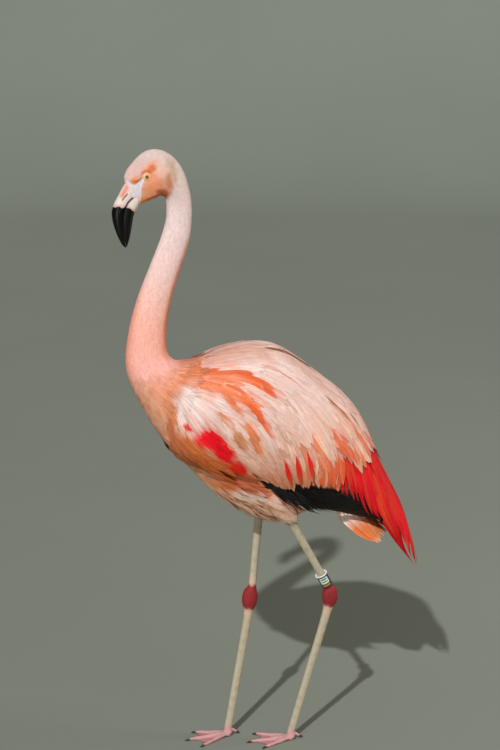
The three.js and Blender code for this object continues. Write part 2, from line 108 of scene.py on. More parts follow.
def curveAt(path, place):
    # A centripetal curve through 3D points.
    path = np.asarray(path, float)
    full = np.vstack([2 * path[0] - path[1], path, 2 * path[-1] - path[-2]])
    last = len(path) - 1
    place = np.clip(np.asarray(place, float), 0, last)
    i = np.minimum(place.astype(int), last - 1)
    w = (place - i)[..., None]
    p0, p1, p2, p3 = (full[i + k] for k in range(4))
    d0, d1, d2 = (np.linalg.norm(v, axis=-1, keepdims=True) ** 0.5 for v in (p1 - p0, p2 - p1, p3 - p2))
    t1 = ((p1 - p0) / d0 - (p2 - p0) / (d0 + d1) + (p2 - p1) / d1) * d1
    t2 = ((p2 - p1) / d1 - (p3 - p1) / (d1 + d2) + (p3 - p2) / d2) * d1
    return hermite(p1, p2, t1, t2, w)


# A surface is a dictionary with "at", which gives points for a place s along it and an angle round it.
# At +90 degrees is the back or upper line, at -90 the lower one; the left side lies between 90 and 270.
def ovalSurface(rows):
    def at(s, theta, grow=0.0):
        row = splineAt(rows, s)
        middle = (row[..., 0:2] + row[..., 2:4]) / 2
        reach = (row[..., 2:4] - row[..., 0:2]) / 2
        length = np.maximum(np.linalg.norm(reach, axis=-1), 1e-6)
        reach = reach * ((length + grow) / length)[..., None]
        rise = np.sin(theta)
        across = np.cos(theta) * (row[..., 4] + grow) * (1 + row[..., 5] * rise)
        side = middle + reach * rise[..., None]
        return np.stack([side[..., 0], across, side[..., 1]], -1) + shift

    return {"at": at, "last": len(rows) - 1.0}


def rodSurface(path, radii):
    def at(s, theta, grow=0.0):
        along = unit(curveAt(path, s + 0.02) - curveAt(path, s - 0.02))
        fore = unit(np.cross([0.0, 1.0, 0.0], along))
        across = np.cross(along, fore)
        r = splineAt(radii, np.asarray(s) * (len(radii) - 1) / (len(path) - 1))
        wide = (np.cos(theta) * (r[..., 0] + grow))[..., None]
        deep = (np.sin(theta) * (r[..., 1] + grow))[..., None]
        return curveAt(path, s) + fore * wide + across * deep + shift

    return {"at": at, "last": len(path) - 1.0}


def frameAt(surface, s, theta, grow=0.0):
    at, small = surface["at"], 0.02
    point = at(s, theta, grow)
    low, high = np.clip(s - small, 0, surface["last"]), np.clip(s + small, 0, surface["last"])
    alongS = (at(high, theta, grow) - at(low, theta, grow)) / (high - low)[..., None]
    alongT = (at(s, theta + small, grow) - at(s, theta - small, grow)) / (2 * small)
    normal = unit(np.cross(alongS, alongT))
    outward = point - at(s, theta + math.pi, grow)
    return point, alongS, alongT, normal * np.sign(dot(normal, outward))[..., None]


def closeRings(points, ends="flat"):
    # A grid of rings as points and faces, closed with two flat faces, with fans, or left open.
    rings, sides = points.shape[:2]
    flat = points.reshape(-1, 3)
    a = np.arange(rings * sides).reshape(rings, sides)
    b = np.roll(a, -1, 1)
    faces = np.stack([a[:-1], b[:-1], b[1:], a[1:]], -1).reshape(-1, 4).tolist()
    if ends == "flat":
        faces += [a[0][::-1].tolist(), a[-1].tolist()]
    if ends == "fan":
        flat = np.vstack([flat, points[0].mean(0), points[-1].mean(0)])
        faces += [[q, p, rings * sides] for p, q in zip(a[0], b[0])]
        faces += [[p, q, rings * sides + 1] for p, q in zip(a[-1], b[-1])]
    return flat, faces


def wrapSurface(surface, rings, sides):
    turn = np.arange(sides) / sides * 2 * math.pi - math.pi / 2
    s, theta = np.meshgrid(np.linspace(0, surface["last"], rings), turn, indexing="ij")
    return closeRings(surface["at"](s, theta), "fan")


def linkPiece(name, data):
    piece = bpy.data.objects.new(name, data)
    bpy.context.scene.collection.objects.link(piece)
    return piece


def meshObject(name, points, faces, colours=None):
    mesh = bpy.data.meshes.new(name)
    mesh.from_pydata([tuple(p) for p in points], [], [tuple(int(i) for i in f) for f in faces])
    mesh.validate()
    if colours is not None:
        paintVertices(mesh, colours)
    mesh.polygons.foreach_set("use_smooth", [True] * len(mesh.polygons))
    return linkPiece(name, mesh)


def paintVertices(mesh, colours):
    layer = mesh.attributes.get("plumage") or mesh.attributes.new("plumage", "FLOAT_COLOR", "POINT")
    full = np.ones((len(mesh.vertices), 4), np.float32)
    full[:, :3] = np.clip(colours, 0, 1)
    layer.data.foreach_set("color", full.ravel())


def turnOut(piece):
    bpy.context.view_layer.objects.active = piece
    piece.select_set(True)
    bpy.ops.object.mode_set(mode="EDIT")
    bpy.ops.mesh.select_all(action="SELECT")
    bpy.ops.mesh.normals_make_consistent(inside=False)
    bpy.ops.object.mode_set(mode="OBJECT")
    piece.select_set(False)


def joinPieces(pieces):
    bpy.ops.object.select_all(action="DESELECT")
    for piece in pieces:
        piece.select_set(True)
    bpy.context.view_layer.objects.active = pieces[0]
    bpy.ops.object.join()
    pieces[0].select_set(False)
    return pieces[0]


def applyModifier(piece, kind, **settings):
    modifier = piece.modifiers.new(kind, kind)
    for key, value in settings.items():
        setattr(modifier, key, value)
    bpy.context.view_layer.objects.active = piece
    bpy.ops.object.modifier_apply(modifier=modifier.name)


def keepPiece(piece, material, slot, *nodes):
    piece.data.materials.clear()
    piece.data.materials.append(material)
    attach(piece, "root")
    if nodes:
        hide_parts(*nodes)


# Camera first: a long lens to the bird's left and a little in front of it, looking slightly down.
view = {"from": (-0.980, -3.5294, 1.5428), "to": (-0.0343, 0.0, 0.6992), "lens": 100}
camera = linkPiece("camera", bpy.data.cameras.new("camera"))
camera.location = Vector(view["from"]) + Vector(shift)
aim = Vector(view["to"]) + Vector(shift) - camera.location
camera.rotation_euler = aim.to_track_quat("-Z", "Y").to_euler()
camera.data.lens = view["lens"]
camera.data.clip_end = 50
bpy.context.scene.camera = camera

# Oval stations: lower line x, z, upper line x, z, half the width, egg (above 0 widens the upper half).
bodyRows = [
    (-0.238, 1.012, -0.259, 1.054, 0.0115, -0.10),  # 0 bill base
    (-0.234, 1.015, -0.260, 1.067, 0.0135, -0.12),
    (-0.229, 1.017, -0.252, 1.082, 0.0162, -0.14),
    (-0.221, 1.019, -0.228, 1.106, 0.0192, -0.12),  # 3 eye
    (-0.210, 1.023, -0.202, 1.112, 0.0206, -0.08),  # crown
    (-0.199, 1.028, -0.175, 1.100, 0.0204, -0.04),
    (-0.191, 1.028, -0.155, 1.074, 0.0200, 0.0),
    (-0.188, 1.024, -0.143, 1.038, 0.0196, 0.0),  # 7 throat
    (-0.187, 1.012, -0.139, 1.010, 0.0200, 0.0),
    (-0.188, 0.990, -0.139, 0.986, 0.0200, 0.0),
    (-0.194, 0.968, -0.142, 0.957, 0.0204, 0.0),
    (-0.204, 0.941, -0.150, 0.927, 0.0212, 0.0),
    (-0.223, 0.896, -0.167, 0.878, 0.0232, 0.0),  # 12 middle of the neck
    (-0.242, 0.849, -0.180, 0.830, 0.0260, 0.0),
    (-0.256, 0.800, -0.186, 0.790, 0.0300, 0.0),
    (-0.264, 0.753, -0.185, 0.756, 0.0355, 0.0),  # 15 foot of the neck
    (-0.264, 0.726, -0.177, 0.741, 0.0420, 0.0),
    (-0.258, 0.697, -0.162, 0.733, 0.0505, 0.0),
    (-0.244, 0.666, -0.140, 0.734, 0.0600, 0.02),  # 18 shoulders
    (-0.226, 0.632, -0.111, 0.739, 0.0700, 0.04),
    (-0.200, 0.590, -0.075, 0.744, 0.0800, 0.05),  # 20 breast
    (-0.166, 0.549, -0.031, 0.745, 0.0880, 0.05),
    (-0.124, 0.505, 0.014, 0.734, 0.0930, 0.05),
    (-0.076, 0.464, 0.057, 0.702, 0.0920, 0.06),  # 23 belly
    (-0.025, 0.434, 0.094, 0.660, 0.0860, 0.08),
    (0.028, 0.427, 0.125, 0.610, 0.0750, 0.10),
    (0.076, 0.438, 0.152, 0.556, 0.0600, 0.10),  # 26 vent
    (0.118, 0.440, 0.174, 0.504, 0.0450, 0.08),
    (0.148, 0.426, 0.194, 0.460, 0.0320, 0.0),
]
# The outside of the folded wings and their hanging plumes.
cloakRows = [
    (-0.217, 0.592, -0.180, 0.702, 0.066, 0.0),  # 0 bend of the wing
    (-0.192, 0.556, -0.148, 0.730, 0.087, 0.0),
    (-0.152, 0.528, -0.112, 0.749, 0.103, -0.02),
    (-0.097, 0.500, -0.072, 0.760, 0.112, -0.05),
    (-0.045, 0.475, -0.031, 0.764, 0.116, -0.09),  # 4 top of the back
    (0.005, 0.455, 0.013, 0.756, 0.116, -0.13),
    (0.050, 0.440, 0.057, 0.728, 0.112, -0.15),
    (0.095, 0.428, 0.099, 0.695, 0.104, -0.16),
    (0.135, 0.415, 0.141, 0.659, 0.092, -0.17),  # 8 rump
    (0.172, 0.400, 0.174, 0.615, 0.078, -0.18),
    (0.205, 0.383, 0.203, 0.552, 0.062, -0.18),
    (0.232, 0.360, 0.231, 0.496, 0.048, -0.18),
    (0.254, 0.338, 0.255, 0.448, 0.037, -0.15),  # 12 hanging plumes
    (0.274, 0.316, 0.276, 0.385, 0.027, -0.10),
    (0.290, 0.298, 0.300, 0.300, 0.015, 0.0),
]
tailRows = [
    (0.154, 0.414, 0.198, 0.450, 0.025, -0.10),
    (0.166, 0.396, 0.210, 0.430, 0.032, -0.15),
    (0.181, 0.377, 0.222, 0.410, 0.038, -0.20),
    (0.195, 0.363, 0.232, 0.391, 0.036, -0.20),
    (0.207, 0.357, 0.238, 0.377, 0.024, -0.20),
]
body, cloak, tail = ovalSurface(bodyRows), ovalSurface(cloakRows), ovalSurface(tailRows)


def coatDepth(s):
    # How far the skin lies inside the outside of the coat, from the face to the belly.
    depths = [0.0003, 0.0006, 0.0011, 0.0022, 0.003, 0.0045, 0.006, 0.006]
    return np.interp(s, [0, 2, 6, 9, 14, 17, 20, 28], depths)


# Colours of plumage and skin. Each mark: x, z, reach along and across, degrees below level, colour, strength.
headMarks = [
    (-0.250, 1.083, 0.026, 0.014, -38, "#d0b9ae", 0.8),
    (-0.245, 1.076, 0.014, 0.010, -40, "#e2b4ac", 0.7),
    (-0.176, 1.073, 0.024, 0.009, 66, "#bd9a7c", 0.85),
    (-0.160, 1.052, 0.030, 0.009, 78, "#dccac0", 0.8),
    (-0.217, 1.081, 0.017, 0.0105, -45, "#eda384", 0.9),
    (-0.200, 1.071, 0.017, 0.013, -45, "#e9b7a2", 0.85),
    (-0.213, 1.056, 0.017, 0.013, 60, "#f2976c", 0.9),
    (-0.213, 1.044, 0.024, 0.013, -4, "#e69260", 0.95),
    (-0.195, 1.052, 0.012, 0.012, 60, "#dd9068", 0.8),
    (-0.184, 1.055, 0.016, 0.006, 80, "#c07c48", 0.9),
    (-0.228, 1.026, 0.013, 0.0060, -16, "#ff9a3c", 0.9),
    (-0.213, 1.0285, 0.016, 0.0032, -20, "#b45c2a", 0.9),
    # These two marks at the throat are painted shadow under the head.
    (-0.194, 1.037, 0.013, 0.0060, 12, "#b8440f", 0.95),
    (-0.190, 1.032, 0.008, 0.0060, 60, "#a05a1c", 0.9),
    (-0.2165, 1.0785, 0.0110, 0.0058, -48, "#d86c36", 0.97),
    (-0.2285, 1.0745, 0.0060, 0.0036, -40, "#e0824e", 0.9),
    (-0.2425, 1.0620, 0.0110, 0.0050, -27, "#e99560", 0.95),
    (-0.2455, 1.0575, 0.0052, 0.0034, -30, "#dd6728", 0.95),
    (-0.2385, 1.0600, 0.0085, 0.0016, -38, "#8e5226", 0.85),
]
neckColours = [
    (7, "#e2cbc4"), (9, "#e6d1cd"), (11, "#e9cdc7"), (12, "#ecc6bd"), (13, "#efb9a9"), (14, "#f1ac96"),
    (15, "#efa997"), (16.5, "#f0ab9b"), (18, "#f29f76"), (19.5, "#f0a070"), (21, "#eeaf82"),
    (23, "#efbe96"), (28, "#f3dcc2"),
]
cloakMarks = [
    (-0.122, 0.706, 0.062, 0.024, 32, "#f09a6e", 0.85),
    (-0.060, 0.752, 0.070, 0.012, 4, "#e2b7a2", 0.7),
    (0.060, 0.716, 0.070, 0.012, 34, "#e6c0ae", 0.6),
    (-0.108, 0.732, 0.042, 0.009, 5, "#f08f5e", 0.8),
    (-0.160, 0.722, 0.034, 0.011, -10, "#eb9260", 0.85),
    (-0.183, 0.699, 0.017, 0.010, 60, "#e58a52", 0.95),
    (-0.197, 0.655, 0.034, 0.011, 84, "#dd8f60", 0.95),
    (-0.196, 0.608, 0.034, 0.012, 62, "#cf8250", 0.95),
    (-0.164, 0.658, 0.034, 0.019, 86, "#fbf3f2", 0.98),
    (-0.110, 0.681, 0.022, 0.012, 70, "#f6e9e6", 0.95),
    (-0.072, 0.654, 0.020, 0.010, 50, "#f5e4df", 0.9),
    (-0.033, 0.614, 0.040, 0.011, 62, "#f4e4de", 0.9),
    (-0.085, 0.700, 0.052, 0.022, 40, "#f2a886", 0.75),
    (-0.100, 0.690, 0.046, 0.0085, 60, "#f08c5a", 0.9),
    (-0.056, 0.715, 0.052, 0.0080, 32, "#f27c46", 0.9),
    (-0.040, 0.704, 0.030, 0.0060, 42, "#f2743a", 0.9),
    (-0.066, 0.676, 0.050, 0.0075, 50, "#f27e46", 0.9),
    (-0.048, 0.650, 0.040, 0.0060, 56, "#f06c34", 0.95),
    (-0.056, 0.610, 0.036, 0.008, 69, "#e88a50", 0.95),
    (-0.113, 0.651, 0.010, 0.007, 60, "#e0935c", 0.9),
    (-0.081, 0.608, 0.018, 0.010, 66, "#cf8e5c", 0.9),
    (-0.160, 0.580, 0.050, 0.026, 38, "#e07f40", 0.97),
    (-0.115, 0.550, 0.048, 0.020, 22, "#de7a3a", 0.97),
    (-0.066, 0.524, 0.045, 0.014, 20, "#dd7634", 0.95),
    (-0.168, 0.630, 0.011, 0.005, 28, "#ff2a30", 0.95),
    (-0.147, 0.606, 0.013, 0.010, 30, "#ff1c2c", 0.95),
    (-0.128, 0.609, 0.024, 0.017, 45, "#ff1128", 1.0),
    (-0.108, 0.586, 0.026, 0.015, 58, "#ff0f22", 1.0),
    (-0.080, 0.552, 0.018, 0.012, 42, "#fc2c1c", 1.0),
    (0.116, 0.576, 0.036, 0.015, 72, "#ee6e44", 0.95),
    (0.140, 0.566, 0.040, 0.010, 64, "#dda183", 0.9),
    (0.176, 0.580, 0.036, 0.007, 60, "#efdcd2", 0.9),
]
faceSkin = {"lore": "#dcd3d5", "lid": "#eac48c", "lidRim": "#a8703a"}


def paintMarks(colour, points, marks, blur=0.55):
    p = points - shift
    for x, z, along, across, tilt, tint, strength in marks:
        c, s = math.cos(math.radians(tilt)), math.sin(math.radians(tilt))
        dx, dz = p[..., 0] - x, p[..., 2] - z
        reach = np.hypot((dx * c - dz * s) / along, (dx * s + dz * c) / across)
        reach = reach + 0.16 * wobble(points, 0.006, x * 300)
        colour = mix(colour, tint, strength * smooth(1 + blur, 1 - blur, reach))
    return colour


def colourRamp(stops, place):
    keys = [k for k, _ in stops]
    values = np.array([linear(c) for _, c in stops])
    return np.stack([np.interp(place, keys, values[:, i]) for i in range(3)], -1)


def bodyColour(points, s, theta):
    high = np.sin(theta)
    # rear: painted warm shade and backlit glow along the back of the neck.
    rear = smooth(0.52, 0.92, high) * smooth(9.0, 12, s) * smooth(16.5, 14.0, s)
    front = smooth(-0.7, -0.98, high) * smooth(12, 13.5, s) * smooth(17, 15.5, s)
    low = smooth(-0.35, -0.85, high) * smooth(15.8, 18, s) * smooth(24, 20, s)
    patches = smooth(0.0, 0.8, wobble(points, 0.012, 3.0)) * smooth(16, 18.5, s)
    colour = layered(
        colourRamp(neckColours, s),
        ("#de7434", 0.85 * rear),
        ("#ea8f6e", 0.5 * front),
        ("#eeb28c", 0.65 * low),
        ("#d98249", 0.5 * patches),
    )
    head = paintMarks(linear("#d6c1bb") + 0 * colour, points, headMarks)
    return mix(head, colour, smooth(6.2, 8.4, s + 0.4 * high))


# The folded wing from the side, x and z: the lower edge of its pale plumes, then its front edge.
covertEdge = [
    (-0.062, 0.534), (-0.037, 0.520), (-0.006, 0.510), (0.034, 0.507), (0.072, 0.505), (0.106, 0.490),
]
wingFront = [
    (-0.100, 0.515), (-0.150, 0.546), (-0.182, 0.578), (-0.199, 0.610), (-0.206, 0.640), (-0.202, 0.668),
    (-0.192, 0.692), (-0.175, 0.715), (-0.150, 0.738),
]


def heightOver(line, p):
    x, z = np.array(line).T
    return p[..., 2] - np.interp(p[..., 0], x, z)


def behindFront(p):
    x, z = np.array(wingFront).T
    return p[..., 0] - np.interp(p[..., 2], z, x) + 0.006 * wobble(p, 0.011, 2.0)


def cloakColour(points):
    p = points - shift
    lower = smooth(0.585, 0.52, p[..., 2] + 0.25 * np.clip(p[..., 0] - 0.1, 0, 1))
    arc = smooth(0.55, 0.58, p[..., 2]) * smooth(-0.140, -0.160, p[..., 0])
    arc = arc * smooth(0.021, 0.011, behindFront(p))
    red = smooth(0.17, 0.20, p[..., 0]) * smooth(0.60, 0.50, p[..., 2] + p[..., 0] - 0.2)
    warm = ("#eec0a6", 0.8 * smooth(0.67, 0.58, p[..., 2]))
    base = layered(linear("#f0dad4") + 0 * points, warm, ("#d98d5c", 0.85 * lower))
    return layered(paintMarks(base, points, cloakMarks, 0.3), ("#d9865a", 0.9 * arc), ("#c8141c", red))


# Everything that grows from the skin: vanes walk over a surface along the lie of the coat.
def scatter(surface, sRange, thetaRange, spacing, cells=(240, 120)):
    s = np.linspace(*sRange, cells[0] + 1)
    theta = np.linspace(*thetaRange, cells[1] + 1)
    sMid, tMid = np.meshgrid((s[1:] + s[:-1]) / 2, (theta[1:] + theta[:-1]) / 2, indexing="ij")
    point, alongS, alongT, _ = frameAt(surface, sMid, tMid)
    area = np.linalg.norm(np.cross(alongS, alongT), axis=-1) * (s[1] - s[0]) * (theta[1] - theta[0])
    gap = spacing(point, sMid, tMid)
    weight = np.where(gap > 0, area / np.maximum(gap, 1e-5) ** 2, 0)
    k = np.arange(int(weight.sum()))
    a, b = (0.5 + k * 0.7548776662) % 1, (0.5 + k * 0.5698402910) % 1
    rowTotal = weight.sum(1)
    place = np.interp(a, np.concatenate([[0], np.cumsum(rowTotal)]) / rowTotal.sum(), np.arange(cells[0] + 1))
    i = np.minimum(place.astype(int), cells[0] - 1)
    share = np.cumsum(weight, 1) / np.maximum(rowTotal, 1e-12)[:, None]
    flat = (share + np.arange(cells[0])[:, None]).ravel()
    j = np.clip(np.searchsorted(flat, b * 0.9999 + i) - i * cells[1], 0, cells[1] - 1)
    before = np.where(j > 0, share[i, j - 1], 0)
    inCell = (b - before) / np.maximum(share[i, j] - before, 1e-9)
    return s[0] + place * (s[1] - s[0]), theta[j] + np.clip(inCell, 0, 1) * (theta[1] - theta[0])


vaneKeys = ("centre", "normal", "along", "place")


def growVanes(surface, s, theta, length, flow, points, depth, rise, **options):
    # back walks up from the tip to the root, for vanes whose tips make an edge; crowd above 1 puts
    # more rings near the tip; straight is how far a vane leaves the surface for a straight line.
    n = len(s)
    back, crowd, straight = options.get("back"), options.get("crowd", 1.0), options.get("straight", 0.0)
    s, theta = np.array(s, float), np.array(theta, float)
    share = 1 - (1 - np.linspace(0, 1, points)) ** crowd
    steps = np.append(np.diff(share), 0)
    if back:
        steps = -np.append(np.diff(share)[::-1], 0)
    centre, normal, along = (np.zeros((n, points, 3)) for _ in range(3))
    place = np.zeros((n, points, 2))
    overrun = np.zeros((n, 3))
    turn = np.broadcast_to(options.get("turn", 0.0), n)[:, None]
    for k in range(points):
        point, alongS, alongT, out = frameAt(surface, s, theta, depth)
        heading = flow(point, alongS)
        heading = unit(heading - out * dot(heading, out)[:, None])
        heading = heading * np.cos(turn) + np.cross(out, heading) * np.sin(turn)
        centre[:, k], normal[:, k], along[:, k] = point + overrun, out, heading
        place[:, k, 0], place[:, k, 1] = s, theta
        move = heading * (length * steps[k])[:, None]
        ss, st, tt = dot(alongS, alongS), dot(alongS, alongT), dot(alongT, alongT)
        ms, mt = dot(move, alongS), dot(move, alongT)
        scale = np.maximum(ss * tt - st * st, 1e-12)
        nextS = s + (tt * ms - st * mt) / scale
        theta = theta + np.clip((ss * mt - st * ms) / scale, -0.6, 0.6)
        beyond = np.maximum(nextS - surface["last"], 0)
        overrun = overrun + heading * (beyond * np.sqrt(ss))[:, None]
        s = np.clip(nextS, 0, surface["last"])
    if back:
        centre, normal, along, place = (v[:, ::-1] for v in (centre, normal, along, place))
    if straight:
        line = centre[:, :1] + along[:, :1] * (length[:, None] * share)[..., None]
        centre = centre + (line - centre) * (straight * share)[None, :, None]
    along = unit(np.gradient(centre, axis=1))
    centre = centre + normal * (options.get("lift", 0.0) + rise * length[:, None] * share)[..., None]
    return {**dict(zip(vaneKeys, (centre, normal, along, place))), "share": share, "surface": surface}


def trimVanes(g, allowed, most=0.06):
    # Ends each vane before the first place that is not allowed; a vane cut to less than half is left out.
    reach = g["centre"] - shift
    good = np.cumprod(allowed(reach), axis=1).astype(bool)
    kept = good.sum(1)
    share, count = g["share"], len(g["share"])
    cut = np.where(kept == count, 1.0, share[np.maximum(kept - 1, 0)])
    cut = cut * (1 - most * rng.uniform(0, 1, len(cut)))
    wanted = cut[:, None] * share[None]
    after = np.clip(np.searchsorted(share, wanted.ravel()).reshape(wanted.shape), 1, count - 1)
    rest = (wanted - share[after - 1]) / (share[after] - share[after - 1])
    rows = np.arange(len(cut))[:, None]
    for key in vaneKeys:
        g[key] = g[key][rows, after - 1] * (1 - rest[..., None]) + g[key][rows, after] * rest[..., None]
    return cut > 0.5


def vaneShape(share, kind):
    # Half the width along a vane, 1 at its widest.
    if kind == "body":
        return np.sin(np.pi * share**0.62) ** 0.75
    if kind == "soft":
        return np.minimum(1, share / 0.2) ** 0.7 * (1 - (np.maximum(share - 0.5, 0) / 0.5) ** 2.4)
    if kind == "spindle":
        return np.sin(np.pi * share) ** 1.3
    return np.sin(np.pi * share**0.5) ** 0.9 * (1 - 0.55 * share)  # long point


def bladeFaces(rings):
    # One blade: quads between its rings of four corners, then a fan at its root and its tip.
    quads, fans = [], []
    last, tip = 4 * rings - 3, 4 * rings + 1
    for a in range(1, last, 4):
        quads += [(a + k, a + 4 + k, a + 4 + (k + 1) % 4, a + (k + 1) % 4) for k in range(4)]
    for k in range(4):
        fans += [(0, 1 + k, 1 + (k + 1) % 4), (tip, last + (k + 1) % 4, last + k)]
    return np.array([i for face in quads + fans for i in face]), np.array([4] * len(quads) + [3] * len(fans))


vaneThick, bakeReach = 0.00012, 0.003


def vaneMesh(name, groups, material, slot, *nodes):
    # Each vane is a closed, thin blade: rings of left edge, crest, right edge and underside.
    points, colours, vaneUv, bakeUv, loops, totals, sharpKey = [], [], [], [], [], [], []
    base = 0
    for g in groups:
        centre, normal, along = g["centre"], g["normal"], g["along"]
        n, count = centre.shape[:2]
        if n == 0:
            continue
        wide = unit(np.cross(normal, along)) * g["half"][..., None]
        fall = normal * (g["half"] * g["camber"])[..., None]
        left, right = centre - wide - fall, centre + wide - fall
        crest, under = centre + normal * vaneThick, centre - normal * vaneThick
        ring = np.stack([left, crest, right, under], 2)[:, 1:-1].reshape(n, -1, 3)
        block = np.concatenate([centre[:, :1], ring, centre[:, -1:]], 1)
        paint, edge = g["colour"], g.get("edge", g["colour"])
        # The underside is painted a fifth darker, as painted shade; the left and right edges take the rim
        # colour.
        ringPaint = np.stack([edge, paint, edge, paint * 0.8], 2)[:, 1:-1].reshape(n, -1, 3)
        paintBlock = np.concatenate([paint[:, :1], ringPaint, paint[:, -1:]], 1)
        u = np.concatenate([[0.5], np.tile([0.0, 0.5, 1.0, 0.5], count - 2), [0.5]])
        v = np.concatenate([[0.0], np.repeat(g["share"][1:-1], 4), [1.0]])
        uv = np.stack([u, v], -1)
        root = g["place"][:, 0] * [1 / g["surface"]["last"], 1 / (2 * math.pi)] + [0, 0.25]
        root = np.clip(root[:, ::-1], 0.004, 0.996)
        bake = root[:, None] + (uv - [0.5, 0.0])[None] * bakeReach
        verts = block.shape[1]
        corners, sizes = bladeFaces(count - 2)
        starts = base + np.arange(n) * verts
        loops.append((corners[None] + starts[:, None]).ravel())
        totals.append(np.tile(sizes, n))
        role = np.concatenate([[3], np.tile([1, 0, 2, 0], count - 2), [3]])
        sharpKey.append(np.tile(role, n))
        points.append(block.reshape(-1, 3))
        colours.append(paintBlock.reshape(-1, 3))
        vaneUv.append(np.tile(uv, (n, 1)))
        bakeUv.append(bake.reshape(-1, 2))
        base += n * verts
    points, colours = np.concatenate(points), np.concatenate(colours)
    loops, totals, role = np.concatenate(loops), np.concatenate(totals), np.concatenate(sharpKey)
    mesh = bpy.data.meshes.new(name)
    mesh.vertices.add(len(points))
    mesh.vertices.foreach_set("co", points.astype(np.float32).ravel())
    mesh.loops.add(len(loops))
    mesh.loops.foreach_set("vertex_index", loops.astype(np.int32))
    mesh.polygons.add(len(totals))
    starts = np.concatenate([[0], np.cumsum(totals)[:-1]])
    mesh.polygons.foreach_set("loop_start", starts.astype(np.int32))
    mesh.polygons.foreach_set("use_smooth", np.ones(len(totals), bool))
    for layerName, values in (("vane", np.concatenate(vaneUv)), ("OFBake", np.concatenate(bakeUv))):
        layer = mesh.uv_layers.new(name=layerName)
        layer.data.foreach_set("uv", values[loops].astype(np.float32).ravel())
    mesh.update(calc_edges=True)
    paintVertices(mesh, colours)
    ends = np.zeros(len(mesh.edges) * 2, np.int32)
    mesh.edges.foreach_get("vertices", ends)
    pair = np.sort(role[ends.reshape(-1, 2)], 1)
    sharp = (pair[:, 0] == pair[:, 1]) & (pair[:, 0] > 0) | (pair[:, 1] == 3) & (pair[:, 0] > 0)
    mesh.attributes.new("sharp_edge", "BOOLEAN", "EDGE").data.foreach_set("value", sharp)
    keepPiece(linkPiece(name, mesh), material, slot, *nodes)
    print("feathers", name, sum(len(g["centre"]) for g in groups), "triangles", int((totals - 2).sum()))


def nodeGroup(name, inputs, outputs):
    group = bpy.data.node_groups.new(name, "ShaderNodeTree")
    for label, value in inputs.items():
        socket = group.interface.new_socket(name=label, in_out="INPUT", socket_type="NodeSocketFloat")
        socket.default_value = value
    for label in outputs:
        group.interface.new_socket(name=label, in_out="OUTPUT", socket_type="NodeSocketFloat")
    return group, group.nodes.new("NodeGroupInput"), group.nodes.new("NodeGroupOutput")


def mathNode(tree, operation, a, b=None, c=None):
    node = tree.nodes.new("ShaderNodeMath")
    node.operation = operation
    for i, value in enumerate((a, b, c)):
        if value is None:
            continue
        if isinstance(value, (int, float)):
            node.inputs[i].default_value = value
        else:
            tree.links.new(value, node.inputs[i])
    return node.outputs[0]


def fedNode(tree, kind, source, target=0, **settings):
    # A node with one input linked and others set.
    node = tree.nodes.new(kind)
    for label, value in settings.items():
        node.inputs[label].default_value = value
    tree.links.new(source, node.inputs[target])
    return node


def objectPlace(tree):
    return tree.nodes.new("ShaderNodeTexCoord").outputs["Object"]


def vanePlace(tree):
    # Across and along a feather, from its own UV map.
    uv = tree.nodes.new("ShaderNodeUVMap")
    uv.uv_map = "vane"
    return fedNode(tree, "ShaderNodeSeparateXYZ", uv.outputs[0]).outputs


def spreadMask(tree, noise, contrast):
    # Noise spread round its middle and held between 0 and 1.
    centred = mathNode(tree, "SUBTRACT", noise.outputs["Fac"], 0.5)
    spread = mathNode(tree, "MULTIPLY_ADD", centred, contrast, 0.5)
    return mathNode(tree, "MINIMUM", mathNode(tree, "MAXIMUM", spread, 0.0), 1.0)


def makeBarbs():
    # Slanting barbs on both sides of a feather's shaft.
    inputs = {"Rows": 60.0, "Slant": 0.3, "Shade": 0.2}
    group, inside, outside = nodeGroup("barbs", inputs, ("Mask", "Height"))
    vane = vanePlace(group)
    side = mathNode(group, "ABSOLUTE", mathNode(group, "SUBTRACT", vane[0], 0.5))
    slanted = mathNode(group, "MULTIPLY", side, inside.outputs["Slant"])
    along = mathNode(group, "SUBTRACT", vane[1], slanted)
    rows = mathNode(group, "MULTIPLY", along, inside.outputs["Rows"])
    noise = fedNode(group, "ShaderNodeTexNoise", objectPlace(group), "Vector", Scale=900)
    phase = mathNode(group, "MULTIPLY_ADD", noise.outputs["Fac"], 2.5, rows)
    wave = mathNode(group, "SINE", mathNode(group, "MULTIPLY", phase, 6.283))
    height = mathNode(group, "MULTIPLY_ADD", wave, 0.5, 0.5)
    off = mathNode(group, "MINIMUM", mathNode(group, "MULTIPLY", side, 22.0), 1.0)
    shaft = mathNode(group, "SUBTRACT", 1.0, off)
    group.links.new(mathNode(group, "MAXIMUM", height, shaft), outside.inputs["Height"])
    shade = mathNode(group, "MULTIPLY", mathNode(group, "SUBTRACT", 1.0, height), inside.outputs["Shade"])
    group.links.new(shade, outside.inputs["Mask"])
    return group


def makeMottle():
    # Uneven tint: 0 to 1 over the surface at a stated size.
    group, inside, outside = nodeGroup("mottle", {"Scale": 80.0, "Contrast": 1.0}, ("Mask",))
    noise = fedNode(group, "ShaderNodeTexNoise", objectPlace(group), "Vector", Detail=4)
    group.links.new(inside.outputs["Scale"], noise.inputs["Scale"])
    group.links.new(spreadMask(group, noise, inside.outputs["Contrast"]), outside.inputs["Mask"])
    return group


